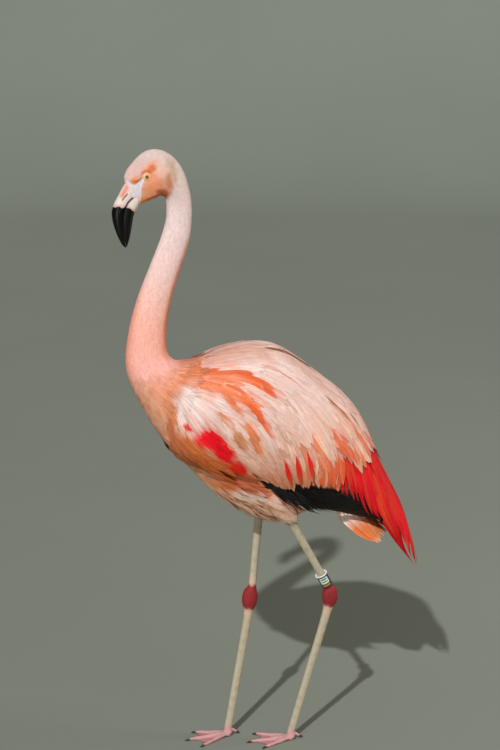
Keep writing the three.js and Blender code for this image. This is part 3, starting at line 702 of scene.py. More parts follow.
def makeStreaks():
    # Soft lines that run the length of a vane, different on every feather.
    group, inside, outside = nodeGroup("streaks", {"Count": 6.0, "Contrast": 2.0}, ("Mask",))
    vane = vanePlace(group)
    where = fedNode(group, "ShaderNodeSeparateXYZ", objectPlace(group)).outputs
    across = mathNode(group, "MULTIPLY", vane[0], inside.outputs["Count"])
    place = fedNode(group, "ShaderNodeCombineXYZ", across)
    group.links.new(vane[1], place.inputs[1])
    drift = mathNode(group, "MULTIPLY_ADD", where[0], 31.0, mathNode(group, "MULTIPLY", where[2], 23.0))
    group.links.new(drift, place.inputs[2])
    noise = fedNode(group, "ShaderNodeTexNoise", place.outputs[0], "Vector", Scale=1.0, Detail=3)
    group.links.new(spreadMask(group, noise, inside.outputs["Contrast"]), outside.inputs["Mask"])
    return group


barbs, mottle, streaks = makeBarbs(), makeMottle(), makeStreaks()


def placeGroup(tree, group, **values):
    node = tree.nodes.new("ShaderNodeGroup")
    node.node_tree = group
    for label, value in values.items():
        node.inputs[label].default_value = value
    return node


def mixColours(tree, amount, a, b, blend="MIX"):
    node = tree.nodes.new("ShaderNodeMix")
    node.data_type, node.blend_type = "RGBA", blend
    for socket, value in ((node.inputs[0], amount), (node.inputs[6], a), (node.inputs[7], b)):
        if isinstance(value, (int, float)):
            socket.default_value = value
        elif isinstance(value, (tuple, list, np.ndarray)):
            socket.default_value = (*value, 1.0)
        else:
            tree.links.new(value, socket)
    return node.outputs[2]


def newMaterial(name, roughness, **fixed):
    material = bpy.data.materials.new(name)
    material.use_nodes = True
    tree = material.node_tree
    shader = tree.nodes["Principled BSDF"]
    shader.inputs["Roughness"].default_value = roughness
    for label, value in fixed.items():
        shader.inputs[label.replace("_", " ")].default_value = value
    return material, tree, shader


def addBump(tree, shader, height, distance):
    bump = fedNode(tree, "ShaderNodeBump", height, "Height", Distance=distance, Strength=1.0)
    tree.links.new(bump.outputs[0], shader.inputs["Normal"])


white = (1.0, 1.0, 1.0)


def patchyPaint(tree, size, contrast, dark):
    # The piece's own paint, unevenly darkened.
    node = tree.nodes.new("ShaderNodeAttribute")
    node.attribute_name = "plumage"
    patchy = placeGroup(tree, mottle, Scale=size, Contrast=contrast)
    tint = mixColours(tree, patchy.outputs[0], dark, white)
    return mixColours(tree, 1.0, node.outputs["Color"], tint, "MULTIPLY")


def plumageMaterial(name, rows, slant, shade, bump, roughness=0.7, patchSize=140.0, streak=0.0):
    material, tree, shader = newMaterial(name, roughness, Specular_IOR_Level=0.2)
    barb = placeGroup(tree, barbs, Rows=rows, Slant=slant, Shade=shade)
    paint = patchyPaint(tree, patchSize, 1.6, (0.90, 0.85, 0.82))
    shade = mixColours(tree, barb.outputs["Mask"], white, (0.45, 0.28, 0.22))
    tone = mixColours(tree, 1.0, paint, shade, "MULTIPLY")
    height = barb.outputs["Height"]
    if streak:
        lines = placeGroup(tree, streaks, Count=7.0, Contrast=3.2)
        dark = mixColours(tree, streak, white, (0.72, 0.46, 0.34))
        tone = mixColours(tree, 1.0, tone, mixColours(tree, lines.outputs[0], dark, white), "MULTIPLY")
        height = mathNode(tree, "MULTIPLY_ADD", lines.outputs[0], 2.0, height)
    tree.links.new(tone, shader.inputs["Base Color"])
    addBump(tree, shader, height, bump)
    return material


downMaterial = plumageMaterial("contourFeathers", 9, 0.5, 0.1, 0.0001)
breastMaterial = plumageMaterial("breastPlumes", 24, 0.5, 0.08, 0.00014, 0.66, 90.0, 0.2)
plumeMaterial = plumageMaterial("longPlumes", 46, 0.5, 0.12, 0.00018, 0.62, 90.0, 0.5)
flightMaterial = plumageMaterial("blackFlightFeathers", 60, 0.4, 0.1, 0.00018, 0.42, 60.0)
print("materials for plumage ready")

# Skin of head, neck and trunk: one loft, with lids and sockets raised round the eyes.
lid = {"opening": 0.0041, "thick": 0.0008, "tilt": -12, "reach": 0.0072, "side": 0.008}
folds = {
    "hollow": {"high": 0.0011, "at": 0.0088, "wide": 0.0022},
    "brow": {"high": 0.0013, "at": 0.0115, "wide": 0.003},
    "cheek": {"high": 0.0012, "at": 0.0, "wide": 0.012, "x": -0.211, "z": 1.047},
    "lore": {"high": 0.0007},
}
flatFront = 0.004  # half the width of the strip along the middle of the face that stays as it is


def eyeReach(points):
    # Distance from the eye's centre in side view; the ring of the lids stands a little taller than wide.
    p = points - shift
    c, s = math.cos(math.radians(lid["tilt"])), math.sin(math.radians(lid["tilt"]))
    dx, dz = p[..., 0] - eyeball["x"], p[..., 2] - eyeball["z"]
    return np.hypot((dx * c - dz * s) * 1.07, (dx * s + dz * c) * 0.95)


lorePatch = [
    (-0.264, 1.0600), (-0.2560, 1.0590), (-0.2500, 1.0545), (-0.2455, 1.0515), (-0.2380, 1.0575),
    (-0.2310, 1.0638), (-0.2283, 1.0610), (-0.2320, 1.0530), (-0.2338, 1.0440), (-0.2340, 1.0370),
    (-0.2340, 1.0270), (-0.2370, 1.0150), (-0.2400, 1.0050), (-0.300, 1.0050), (-0.300, 1.0600),
]


def insideOutline(x, z, outline):
    inside = np.zeros(x.shape, bool)
    away = np.full(x.shape, 9.0)
    for (x0, z0), (x1, z1) in zip(outline, outline[1:] + outline[:1]):
        crosses = (z0 > z) != (z1 > z)
        inside ^= crosses & (x < (x1 - x0) * (z - z0) / (z1 - z0 + 1e-12) + x0)
        t = np.clip(((x - x0) * (x1 - x0) + (z - z0) * (z1 - z0)) / ((x1 - x0) ** 2 + (z1 - z0) ** 2), 0, 1)
        away = np.minimum(away, np.hypot(x - x0 - t * (x1 - x0), z - z0 - t * (z1 - z0)))
    return np.where(inside, away, -away)


def segmentReach(points, a, b):
    # Distance from a straight line between two points, in side view.
    p = (points - shift)[..., [0, 2]]
    a, b = np.array(a), np.array(b)
    t = np.clip(((p - a) @ (b - a)) / ((b - a) @ (b - a)), 0, 1)
    return np.linalg.norm(p - a - t[..., None] * (b - a), axis=-1)


def fold(name, reach):
    form = folds[name]
    return form["high"] * np.exp(-(((reach - form["at"]) / form["wide"]) ** 2))


def faceOffset(points):
    # How far brow, cheek and lores stand out from the plain loft, to either side.
    p = points - shift
    d = eyeReach(points)
    wide = np.abs(points[..., 1])
    brow = fold("brow", d) * smooth(0.0, 0.008, p[..., 2] - eyeball["z"])
    cheek = fold("cheek", np.hypot(p[..., 0] - folds["cheek"]["x"], p[..., 2] - folds["cheek"]["z"]))
    inLore = insideOutline(p[..., 0], p[..., 2], lorePatch)
    lore = folds["lore"]["high"] * smooth(-0.0012, 0.0016, inLore) * smooth(0.0085, 0.011, d)
    stands = (brow - fold("hollow", d) + cheek - lore) * smooth(flatFront, 0.009, wide)
    return np.where(wide > flatFront, stands, 0)


def ballSide(radius, d):
    # How far the eyeball, or a shell round it, stands out to the side.
    return eyeball["y"] + np.sqrt(np.maximum(radius * radius - d * d, 0))


def shapeFace(points):
    d = eyeReach(points)
    wide = np.abs(points[..., 1])
    rim = ballSide(eyeball["radius"] + lid["thick"], d) - 0.5 * smooth(0.0058, 0.0085, d) * lid["thick"]
    shaped = np.maximum(wide, np.where(d < lid["reach"], rim, 0)) + faceOffset(points)
    opened = smooth(lid["opening"] + 0.0005, lid["opening"] - 0.0002, d)
    shaped = shaped + (ballSide(eyeball["radius"], d) - 0.0013 - shaped) * opened
    out = points.copy()
    out[..., 1] = np.where(wide > flatFront, np.sign(points[..., 1]) * shaped, points[..., 1])
    return out


def bareAmount(points):
    # 1 on bare skin: the lores, the bill's base and the lids.
    p = points - shift
    inLore = insideOutline(p[..., 0], p[..., 2], lorePatch) + 0.0006 * wobble(points, 0.0012)
    lore = smooth(-0.0006, 0.0006, inLore)
    lids = smooth(0.0071, 0.0064, eyeReach(points)) * (np.abs(p[..., 1]) > lid["side"])
    return np.maximum(lore, lids)


def headSkinColour(points, s, theta):
    colour = bodyColour(points, s, theta)
    p = points - shift
    d = eyeReach(points)
    bare = linear(faceSkin["lore"]) + 0 * colour
    bare = mix(bare, "#d8b9a6", 0.35 * smooth(0.1, 0.7, wobble(points, 0.004, 5.0)))
    lidTone = mix(faceSkin["lid"], faceSkin["lidRim"], smooth(0.0043, 0.0039, d))
    bare = mix(bare, lidTone, smooth(0.0070, 0.0062, d) * (np.abs(p[..., 1]) > lid["side"]))
    return mix(colour, bare, bareAmount(points))


# The skin's rings lie closer at the face, and its sides closer round the eyes.
eyeTurn = math.radians(7)  # the eye's place round the head, above the middle
wide = np.linspace(-math.pi / 2, 3 * math.pi / 2, 2001)
middle = (wide[1:] + wide[:-1]) / 2
crowding = 1 + 3.2 * sum(np.exp(-(((middle - at) / 0.3) ** 2)) for at in (eyeTurn, math.pi - eyeTurn))
total = np.concatenate([[0], np.cumsum(crowding)])
turns = np.interp(np.arange(160) / 160 * total[-1], total, wide)
spans = [(0, 1.9, 21), (1.9, 3.9, 83), (3.9, 9, 45), (9, 28, 95)]
places = np.concatenate([np.linspace(a, b, n, endpoint=False) for a, b, n in spans] + [[28.0]])


def denseBody():
    s, theta = np.meshgrid(places, turns, indexing="ij")
    points = shapeFace(body["at"](s, theta, -coatDepth(s)))
    colours = headSkinColour(points, s, theta).reshape(-1, 3)
    colours = np.vstack([colours, linear("#f1e7dc"), linear("#efdcc6")])
    return meshObject("skin", *closeRings(points, "fan"), colours)


def wingBed():
    # The folded wings' arms and skin under the plumes: the cloak's shape, closed straight across below.
    sGrid, share = np.meshgrid(np.linspace(0.1, 12.3, 70), np.linspace(-1, 1, 72), indexing="ij")
    stations, degrees = [0, 0.5, 1, 2, 3, 4, 6, 10.6, 12.3], [98, 120, 138, 134, 130, 124, 114, 108, 92]
    reach = np.interp(sGrid, stations, degrees)
    tGrid = np.radians(90 + share * reach)
    points = cloak["at"](sGrid, tGrid, np.interp(sGrid, [0, 1.1], [-0.034, -0.0125]))
    flat, faces = closeRings(points)
    piece = meshObject("wingBed", flat, faces, cloakColour(flat) * linear("#f0c8b4"))
    turnOut(piece)
    return piece


legs = {
    "left": {
        "knee": (-0.006, -0.054, 0.500),
        "shankTop": (0.030, -0.048, 0.434),
        "hock": (0.1135, -0.034, 0.284),
        "ankle": (0.038, -0.024, 0.014),
        "heading": -3,
    },
    "right": {
        "knee": (0.008, 0.054, 0.500),
        "shankTop": (-0.003, 0.048, 0.434),
        "hock": (-0.023, 0.034, 0.268),
        "ankle": (-0.071, 0.024, 0.014),
        "heading": 4,
    },
}
legRadii = [
    (0.0078, 0.0068), (0.0072, 0.0060), (0.0070, 0.0062), (0.0080, 0.0072), (0.0136, 0.0106),
    (0.0146, 0.0110), (0.0086, 0.0072), (0.0072, 0.0056), (0.0072, 0.0062),
]
toes = {"inner": (0.062, -29), "middle": (0.076, 0), "outer": (0.068, 30)}
thighRadii = {
    "skin": [(0.018, 0.012), (0.025, 0.019), (0.022, 0.018), (0.0125, 0.0115), (0.0076, 0.0066)],
    "plumes": [(0.020, 0.014), (0.030, 0.023), (0.026, 0.022), (0.0165, 0.0155), (0.0098, 0.0094)],
}
# Ankle and hind toe on the foot, with the rings and sides of their meshes.
footParts = [
    {
        "path": [(0.001, 0, 0.016), (0, 0, 0.008), (-0.004, 0, 0.003)],
        "radii": [(0.0072, 0.0064), (0.0086, 0.0084), (0.007, 0.009)],
        "mesh": (16, 26),
    },
    {
        "path": [(0.004, 0, 0.013), (0.011, 0, 0.010), (0.017, 0, 0.006)],
        "radii": [(0.0034, 0.0034), (0.003, 0.0028), (0.002, 0.002)],
        "mesh": (14, 16),
    },
]
webHeights = (0.0004, 0.0023)
legMeshes = {"leg": (150, 30), "thigh": (60, 40), "toe": (46, 20), "voxel": 0.0009, "soften": 4, "kept": 0.32}
toeRadii = [
    (0.0054, 0.0052), (0.0041, 0.0044), (0.0045, 0.0042), (0.0033, 0.0036), (0.0036, 0.0034),
    (0.0024, 0.0024),
]


def legPaths(leg):
    top, hock, ankle = (np.array(leg[k]) for k in ("shankTop", "hock", "ankle"))
    down, forward = unit(hock - top), unit(ankle - hock)
    bulge = np.array([-0.0016, 0, 0])
    path = [
        top + down * 0.0063,
        top + (hock - top) * 0.45,
        hock - down * 0.049,
        hock - down * 0.019,
        hock - down * 0.008 + bulge,
        hock + forward * 0.009 + bulge,
        hock + forward * 0.030,
        hock + (ankle - hock) * 0.55,
        ankle,
    ]
    knee = np.array(leg["knee"])
    inside = knee * [1, 0.55, 1] + [-0.012, 0, 0.030]
    thigh = [inside, knee, knee + (top - knee) * 0.55, top - down * 0.004, top + down * 0.010]
    return np.array(path), np.array(thigh)


def onFoot(leg, points):
    c, s = math.cos(math.radians(leg["heading"])), math.sin(math.radians(leg["heading"]))
    p = np.atleast_2d(np.asarray(points, float))
    turned = np.stack([p[:, 0] * c - p[:, 1] * s, p[:, 0] * s + p[:, 1] * c, p[:, 2]], 1)
    return turned + [leg["ankle"][0], leg["ankle"][1], 0]


def toeDirection(angle):
    return np.array([-math.cos(math.radians(angle)), -math.sin(math.radians(angle)), 0])


def bezier(a, b, c, n):
    t = np.linspace(0, 1, n)[:, None]
    return (1 - t) ** 2 * a + 2 * t * (1 - t) * b + t * t * c


def legMesh(name, leg):
    side = -1 if name == "left" else 1
    path, thigh = legPaths(leg)
    parts = [(rodSurface(path, legRadii), *legMeshes["leg"])]
    parts.append((rodSurface(thigh, thighRadii["skin"]), *legMeshes["thigh"]))
    parts += [(rodSurface(onFoot(leg, part["path"]), part["radii"]), *part["mesh"]) for part in footParts]
    tips = {}
    for toe, (length, splay) in toes.items():
        ahead = toeDirection(splay * side)
        tips[toe] = ahead * length
        line = [[0, 0, 0.006], ahead * length / 2 + [0, 0, 0.0036], ahead * length + [0, 0, 0.0022]]
        parts.append((rodSurface(onFoot(leg, line), toeRadii), *legMeshes["toe"]))
    pieces = [meshObject("legPart", *wrapSurface(*part)) for part in parts]
    inner, middle, outer = tips["inner"], tips["middle"], tips["outer"]
    first = bezier(inner * 0.95, (inner * 0.6 + middle * 0.75) / 2, middle * 0.93, 14)
    second = bezier(middle * 0.93, (outer * 0.6 + middle * 0.75) / 2, outer * 0.95, 14)
    rim = np.vstack([[[0.002, 0, 0]], first, second[1:]])
    layers = [onFoot(leg, rim + [0, 0, z]) + shift for z in webHeights]
    pieces.append(meshObject("web", *closeRings(np.array(layers))))
    for piece in pieces:
        turnOut(piece)
    joined = joinPieces(pieces)
    applyModifier(joined, "REMESH", mode="VOXEL", voxel_size=legMeshes["voxel"])
    applyModifier(joined, "SMOOTH", factor=0.5, iterations=legMeshes["soften"])
    applyModifier(joined, "DECIMATE", ratio=legMeshes["kept"])
    points = readPoints(joined)
    points[:, 2] = np.maximum(points[:, 2], 0.0)
    joined.data.vertices.foreach_set("co", points.astype(np.float32).ravel())
    place = placeOnPath(points, path + shift)
    paintVertices(joined.data, legColour(points, place))
    writeAlong(joined.data, place["along"] + 0.02)
    print("leg", name, "faces", len(joined.data.polygons))
    return joined


def readLayer(piece, name, width):
    layer = piece.data.attributes.get(name)
    values = np.zeros(len(piece.data.vertices) * width)
    if layer:
        layer.data.foreach_get("color" if width == 4 else "value", values)
    return values.reshape(-1, width)


def writeAlong(mesh, along):
    layer = mesh.attributes.get("legPlace") or mesh.attributes.new("legPlace", "FLOAT", "POINT")
    layer.data.foreach_set("value", along.astype(np.float32))


def readPoints(piece):
    values = np.zeros(len(piece.data.vertices) * 3)
    piece.data.vertices.foreach_get("co", values)
    return values.reshape(-1, 3)


def placeOnPath(points, path):
    # Metres along a leg from its top, and the distance from the hock's middle.
    fine = curveAt(path, np.linspace(0, len(path) - 1, 400))
    lengths = np.concatenate([[0], np.cumsum(np.linalg.norm(np.diff(fine, axis=0), axis=1))])
    chunks = np.array_split(points, 60)
    nearest = np.concatenate([np.argmin(((part[:, None] - fine[None]) ** 2).sum(-1), 1) for part in chunks])
    ahead = unit(np.gradient(fine, axis=0))[nearest]
    along = lengths[nearest] + dot(points - fine[nearest], ahead)
    hockAt = lengths[int(4.5 / (len(path) - 1) * 399)]
    return {"along": along, "hock": np.abs(along - hockAt), "height": points[:, 2]}


def legColour(points, place):
    hock, height = place["hock"], place["height"]
    return layered(
        linear("#b5ac92") + 0 * points,
        ("#a39b7e", 0.6 * smooth(0.0, 0.8, wobble(points, 0.009, 2.0))),
        ("#cf9468", smooth(0.436, 0.446, height)),
        ("#dcae98", 0.5 * smooth(0.05, 0.026, hock)),
        ("#8c0e1b", 0.97 * smooth(0.027, 0.019, hock + 0.003 * wobble(points, 0.006, 1.0))),
        ("#c98d92", 0.75 * smooth(0.030, 0.012, height)),
        ("#b46a72", 0.6 * smooth(0.004, 0.0025, height)),
    )


def boolUnion(base, others):
    # The union loses what was painted, so each point takes it again from the nearest point before it.
    sources = [base, *others]
    before = np.vstack([readPoints(p) for p in sources])
    paint = np.vstack([readLayer(p, "plumage", 4)[:, :3] for p in sources])
    along = np.concatenate([readLayer(p, "legPlace", 1)[:, 0] for p in sources])
    for other in others:
        applyModifier(base, "BOOLEAN", operation="UNION", object=other, solver="EXACT")
        bpy.data.objects.remove(other)
    tree = KDTree(len(before))
    for i, point in enumerate(before):
        tree.insert(point, i)
    tree.balance()
    nearest = [tree.find(point)[1] for point in readPoints(base)]
    paintVertices(base.data, paint[nearest])
    writeAlong(base.data, along[nearest])
    return base


scute = {"pebbles": 420, "sharp": 9.0, "bands": 1150.0, "curve": 0.35, "fine": 900.0, "bump": 0.00025}


def skinMaterial():
    material, tree, shader = newMaterial("skin", 0.6, Specular_IOR_Level=0.28)
    tree.links.new(patchyPaint(tree, 260.0, 1.4, (0.84, 0.80, 0.78)), shader.inputs["Base Color"])
    along = tree.nodes.new("ShaderNodeAttribute")
    along.attribute_name = "legPlace"
    cells = fedNode(tree, "ShaderNodeTexVoronoi", objectPlace(tree), "Vector", Scale=scute["pebbles"])
    cells.feature = "DISTANCE_TO_EDGE"
    wave = mathNode(tree, "SINE", mathNode(tree, "MULTIPLY", along.outputs["Fac"], scute["bands"]))
    scutes = mathNode(tree, "POWER", mathNode(tree, "ABSOLUTE", wave), scute["curve"])
    edges = mathNode(tree, "MULTIPLY", cells.outputs["Distance"], scute["sharp"])
    pebbles = mathNode(tree, "MINIMUM", edges, 1.0)
    onLeg = mathNode(tree, "GREATER_THAN", along.outputs["Fac"], 0.0001)
    height = mathNode(tree, "MULTIPLY", mathNode(tree, "ADD", scutes, pebbles), onLeg)
    fine = placeGroup(tree, mottle, Scale=scute["fine"], Contrast=2.0)
    addBump(tree, shader, mathNode(tree, "ADD", height, fine.outputs[0]), scute["bump"])
    return material


legPieces = [legMesh(name, leg) for name, leg in legs.items()]
skin = boolUnion(denseBody(), [wingBed(), *legPieces])
skin.data.polygons.foreach_set("use_smooth", [True] * len(skin.data.polygons))
fleshNodes = ["head", "neck_upper", "neck_middle", "neck_lower", "trunk"]
legNodes = ("thigh", "shank", "hock", "tarsus", "foot")
fleshNodes += [f"{part}_{side}" for part in legNodes for side in ("left", "right")]
keepPiece(skin, skinMaterial(), "leg_skin", *fleshNodes)
print("skin faces", len(skin.data.polygons))

# Bill: mouth line x, z, ridge x, z, half the width for the upper half; keel, then mouth line, for the lower.
upperRows = [
    (-0.2400, 1.0355, -0.2590, 1.0535, 0.0106),
    (-0.2495, 1.0280, -0.2655, 1.0430, 0.0102),
    (-0.2560, 1.0220, -0.2715, 1.0320, 0.0102),
    (-0.2610, 1.0140, -0.2790, 1.0180, 0.0106),
    (-0.2645, 1.0040, -0.2830, 1.0035, 0.0106),
    (-0.2660, 0.9910, -0.2815, 0.9880, 0.0096),
    (-0.2655, 0.9760, -0.2775, 0.9730, 0.0080),
    (-0.2635, 0.9620, -0.2720, 0.9590, 0.0060),
    (-0.2605, 0.9490, -0.2655, 0.9465, 0.0034),
    (-0.2582, 0.9420, -0.2600, 0.9410, 0.0012),
]
lowerRows = [
    (-0.2360, 1.0140, -0.2394, 1.0346, 0.0110),
    (-0.2384, 1.0095, -0.2486, 1.0274, 0.0120),
    (-0.2410, 1.0050, -0.2550, 1.0214, 0.0126),
    (-0.2434, 1.0000, -0.2598, 1.0136, 0.0130),
    (-0.2454, 0.9930, -0.2632, 1.0040, 0.0126),
    (-0.2470, 0.9830, -0.2646, 0.9910, 0.0114),
    (-0.2494, 0.9690, -0.2640, 0.9760, 0.0092),
    (-0.2524, 0.9560, -0.2620, 0.9614, 0.0066),
    (-0.2554, 0.9465, -0.2594, 0.9490, 0.0032),
    (-0.2568, 0.9420, -0.2576, 0.9424, 0.0012),
]
blackEdge = [
    (-0.2850, 1.0130), (-0.2780, 1.0138), (-0.2710, 1.0155), (-0.2675, 1.0122), (-0.2600, 1.0136),
    (-0.2530, 1.0115), (-0.2450, 1.0045), (-0.2400, 1.0000),
]
gape = [(-0.2395, 1.0352), (-0.2490, 1.0278), (-0.2555, 1.0217), (-0.2604, 1.0138)]
nostril = {"from": (-0.2565, 1.0358), "to": (-0.2660, 1.0258), "width": 0.0014, "deep": 0.0013}
seam = {"from": (-0.2550, 1.0400), "to": (-0.2735, 1.0050), "width": 0.0009, "deep": 0.0004}
redStreak = {"from": (-0.2555, 1.0500), "to": (-0.2655, 1.0330)}
billMesh = {"dome": 56, "floor": 12, "rings": 130}


def billSurface(rows, floorAtBack):
    # One half of the bill: a dome over the mouth line, closed flat on the mouth side.
    across = billMesh["floor"]
    angle = np.linspace(0, math.pi, billMesh["dome"])
    rise = np.concatenate([np.sin(angle) ** 0.8, np.zeros(across)])
    wide = np.cos(angle) * (1 + 0.18 * np.sin(2 * angle) * np.sign(np.cos(angle)))
    wide = np.concatenate([wide, np.linspace(-1, 1, across + 2)[1:-1]])
    row = splineAt(rows, np.linspace(0, len(rows) - 1, billMesh["rings"]))
    floor, crown = (row[:, 2:4], row[:, 0:2]) if floorAtBack else (row[:, 0:2], row[:, 2:4])
    side = floor[:, None] + (crown - floor)[:, None] * rise[None, :, None]
    return np.stack([side[..., 0], row[:, 4, None] * wide[None], side[..., 1]], -1) + shift


def billColour(points, upper):
    p = points - shift
    reach = segmentReach(points, redStreak["from"], redStreak["to"])
    streak = smooth(0.0060, 0.0004, reach + 0.0014 * wobble(points, 0.0024))
    edge = np.interp(p[..., 0], *np.array(blackEdge).T)
    height = p[..., 2] - edge + 0.0007 * wobble(points, 0.0026, 8.0)
    lip = np.min([segmentReach(points, a, b) for a, b in zip(gape, gape[1:])], axis=0)
    slit = segmentReach(points, nostril["from"], nostril["to"])
    return layered(
        linear("#ddcfc5") + 0 * points,
        ("#f0c9b8", 0.7 * smooth(0.1, 0.9, wobble(points, 0.007, 4.0))),
        ("#dc7058", (0.85 if upper else 0.2) * streak),
        ("#c98a84", 0.55 * smooth(0.006, 0.001, height)),
        ("#060607", smooth(0.0006, -0.0006, height)),
        ("#4a2a28", 0.9 * smooth(0.0011, 0.0005, lip)),
        # The nostril slit is painted dark, as painted shade in its recess.
        ("#2a1a18", upper * smooth(nostril["width"], 0.0004, slit)),
    )


def billPiece(name, rows, floorAtBack):
    points = billSurface(rows, floorAtBack)
    upper = not floorAtBack
    onSides = smooth(0.002, 0.005, np.abs(points[..., 1]))
    if upper:
        slit = segmentReach(points, nostril["from"], nostril["to"])
        dent = nostril["deep"] * smooth(nostril["width"], 0.0003, slit) * onSides
        line = segmentReach(points, seam["from"], seam["to"])
        dent = dent + seam["deep"] * np.exp(-((line / seam["width"]) ** 2)) * onSides
        points[..., 1] -= np.sign(points[..., 1]) * dent
    flat, faces = closeRings(points)
    piece = meshObject(name, flat, faces, billColour(flat, upper))
    turnOut(piece)
    return piece


def hornMaterial(name, roughness, bump):
    material, tree, shader = newMaterial(name, roughness, Specular_IOR_Level=0.25)
    tree.links.new(patchyPaint(tree, 420.0, 1.5, (0.86, 0.83, 0.81)), shader.inputs["Base Color"])
    addBump(tree, shader, placeGroup(tree, mottle, Scale=1100.0, Contrast=2.2).outputs[0], bump)
    return material


horn = hornMaterial("billHorn", 0.36, 0.00008)
keepPiece(billPiece("billUpper", upperRows, False), horn, "bill", "bill_upper")
keepPiece(billPiece("billLower", lowerRows, True), horn, "bill", "bill_lower")


def eyePiece():
    # Both eyeballs: pupil and iris as rings round the direction of gaze.
    polar = np.concatenate([np.linspace(0, 1.0, 44), np.linspace(1.0, math.pi, 30)[1:]])
    around = np.linspace(0, 2 * math.pi, 72, endpoint=False)
    pieces = []
    for side in (-1, 1):
        gaze = unit(np.array([-0.16, side, 0.03]))
        up = unit(np.cross(gaze, np.cross([0.0, 0.0, 1.0], gaze)))
        right = np.cross(gaze, up)
        a, b = np.meshgrid(polar, around, indexing="ij")
        r = eyeball["radius"] * (1 + 0.03 * np.exp(-((a / 0.5) ** 2)))
        off = np.cos(b)[..., None] * up + np.sin(b)[..., None] * right
        ball = np.cos(a)[..., None] * gaze + np.sin(a)[..., None] * off
        centre = np.array([eyeball["x"], side * eyeball["y"], eyeball["z"]]) + shift
        points, faces = closeRings(centre + r[..., None] * ball, "open")
        reach = (eyeball["radius"] * np.sin(np.minimum(a, 1.5))).ravel()
        fibre = 0.5 + 0.5 * np.sin(b.ravel() * 36 + 2 * np.sin(b.ravel() * 7))
        inner, rim = smooth(0.0034, 0.0021, reach), smooth(0.0041, 0.0048, reach)
        iris = layered("#deae66", ("#c98f4c", 0.5 * fibre), ("#9a6430", 0.85 * inner), ("#8a5a2c", 0.8 * rim))
        outside = smooth(eyeball["pupil"] - 0.00012, eyeball["pupil"] + 0.00012, reach)
        colours = mix("#060505", iris, outside)
        pieces.append(meshObject("eyes", points, faces, colours))
    both = joinPieces(pieces)
    applyModifier(both, "WELD", merge_threshold=1e-6)
    turnOut(both)
    return both


def eyeMaterial():
    material, tree, shader = newMaterial("eye", 0.12, Coat_Weight=1.0, Coat_Roughness=0.02)
    tree.links.new(patchyPaint(tree, 2600.0, 2.0, (0.82, 0.78, 0.72)), shader.inputs["Base Color"])
    return material


keepPiece(eyePiece(), eyeMaterial(), "eye", "eye_left", "eye_right")


clawRadii = [(0.0019, 0.0025), (0.0016, 0.0022), (0.0004, 0.0009)]
toeClaw = {"long": 0.008, "drop": 0.0016}
hindClaw = {"root": (0.0182, 0, 0.0056), "angle": 180, "long": 0.005, "drop": 0.0025}


def clawPiece():
    pieces, nodes = [], []
    for name, leg in legs.items():
        side = -1 if name == "left" else 1
        claws = []
        for length, splay in toes.values():
            root = toeDirection(splay * side) * length + [0, 0, 0.0022]
            claws.append({"root": root, "angle": splay * side, **toeClaw})
        for claw in (*claws, hindClaw):
            ahead, root = toeDirection(claw["angle"]), np.array(claw["root"])
            low = np.array([0, 0, claw["drop"]])
            middle = root + ahead * claw["long"] * 0.5 - low * 0.3
            line = [root - ahead * 0.0022, middle, root + ahead * claw["long"] - low]
            points, faces = wrapSurface(rodSurface(onFoot(leg, line), clawRadii), 20, 18)
            points[:, 2] = np.maximum(points[:, 2], 0.0001)
            out = np.linalg.norm(points - (onFoot(leg, root)[0] + shift), axis=1) / claw["long"]
            pieces.append(meshObject("claws", points, faces, mix("#4a3f3a", "#1d1917", smooth(0, 1, out))))
            turnOut(pieces[-1])
        nodes += [f"claw_{name}_{toe}" for toe in ("inner", "middle", "outer", "hind")]
    keepPiece(joinPieces(pieces), hornMaterial("clawHorn", 0.42, 0.0001), "claw", *nodes)


clawPiece()
print("bill, eyes and claws ready")

# Ring on the left leg: a wrapped plastic band with a flange at its upper end and plain coloured bars.
band = {"inner": 0.0087, "outer": 0.0102, "flange": 0.0118, "half": 0.014, "down": 0.034, "sides": 96}
bandBars = [
    (-0.0085, 0.0045, -0.75, 0.95, "#cfd4cc"),
    (-0.0065, -0.0035, -0.5, 0.65, "#2f8a58"),
    (-0.0010, 0.0018, -0.5, 0.65, "#2f8a58"),
    (0.0072, 0.0100, -0.7, 0.9, "#c9762f"),
]


def legBandPiece():
    top, hock = np.array(legs["left"]["shankTop"]), np.array(legs["left"]["hock"])
    axis = unit(hock - top)
    centre = hock - axis * band["down"] + shift
    toCamera = unit(np.array(view["from"]) + shift - centre)
    front = unit(toCamera - axis * dot(toCamera, axis))
    side = np.cross(axis, front)
    h = band["half"]
    outline = [
        (band["inner"], -h),
        (band["flange"] - 0.0004, -h),
        (band["flange"], -h + 0.0004),
        (band["flange"], -h + 0.0018),
        (band["outer"] + 0.0003, -h + 0.0030),
        *[(band["outer"], v) for v in np.linspace(-h + 0.0034, h - 0.0004, 40)],
        (band["outer"] - 0.0004, h),
        (band["inner"], h),
    ]
    turn = np.arange(band["sides"]) / band["sides"] * 2 * math.pi
    r, v = np.array(outline).T
    radial = np.cos(turn)[:, None] * front + np.sin(turn)[:, None] * side
    points = centre + axis * v[:, None, None] + r[:, None, None] * radial[None]
    a = np.arange(len(r) * len(turn)).reshape(len(r), len(turn))
    b = np.roll(a, -1, 1)
    faces = np.stack([a, b, np.roll(b, -1, 0), np.roll(a, -1, 0)], -1).reshape(-1, 4).tolist()
    vv, tt = np.meshgrid(v, (turn + math.pi) % (2 * math.pi) - math.pi, indexing="ij")
    colour = linear("#123f3d") + 0 * vv[..., None]
    colour[vv < -h + 0.0032] = linear("#d9dcd8")
    for low, high, left, right, tone in bandBars:
        colour[(vv > low) & (vv < high) & (tt > left) & (tt < right)] = linear(tone)
    piece = meshObject("legBand", points.reshape(-1, 3), faces, colour.reshape(-1, 3))
    turnOut(piece)
    keepPiece(piece, hornMaterial("bandPlastic", 0.38, 0.00004), "band", "leg_band")


legBandPiece()
print("band ready")

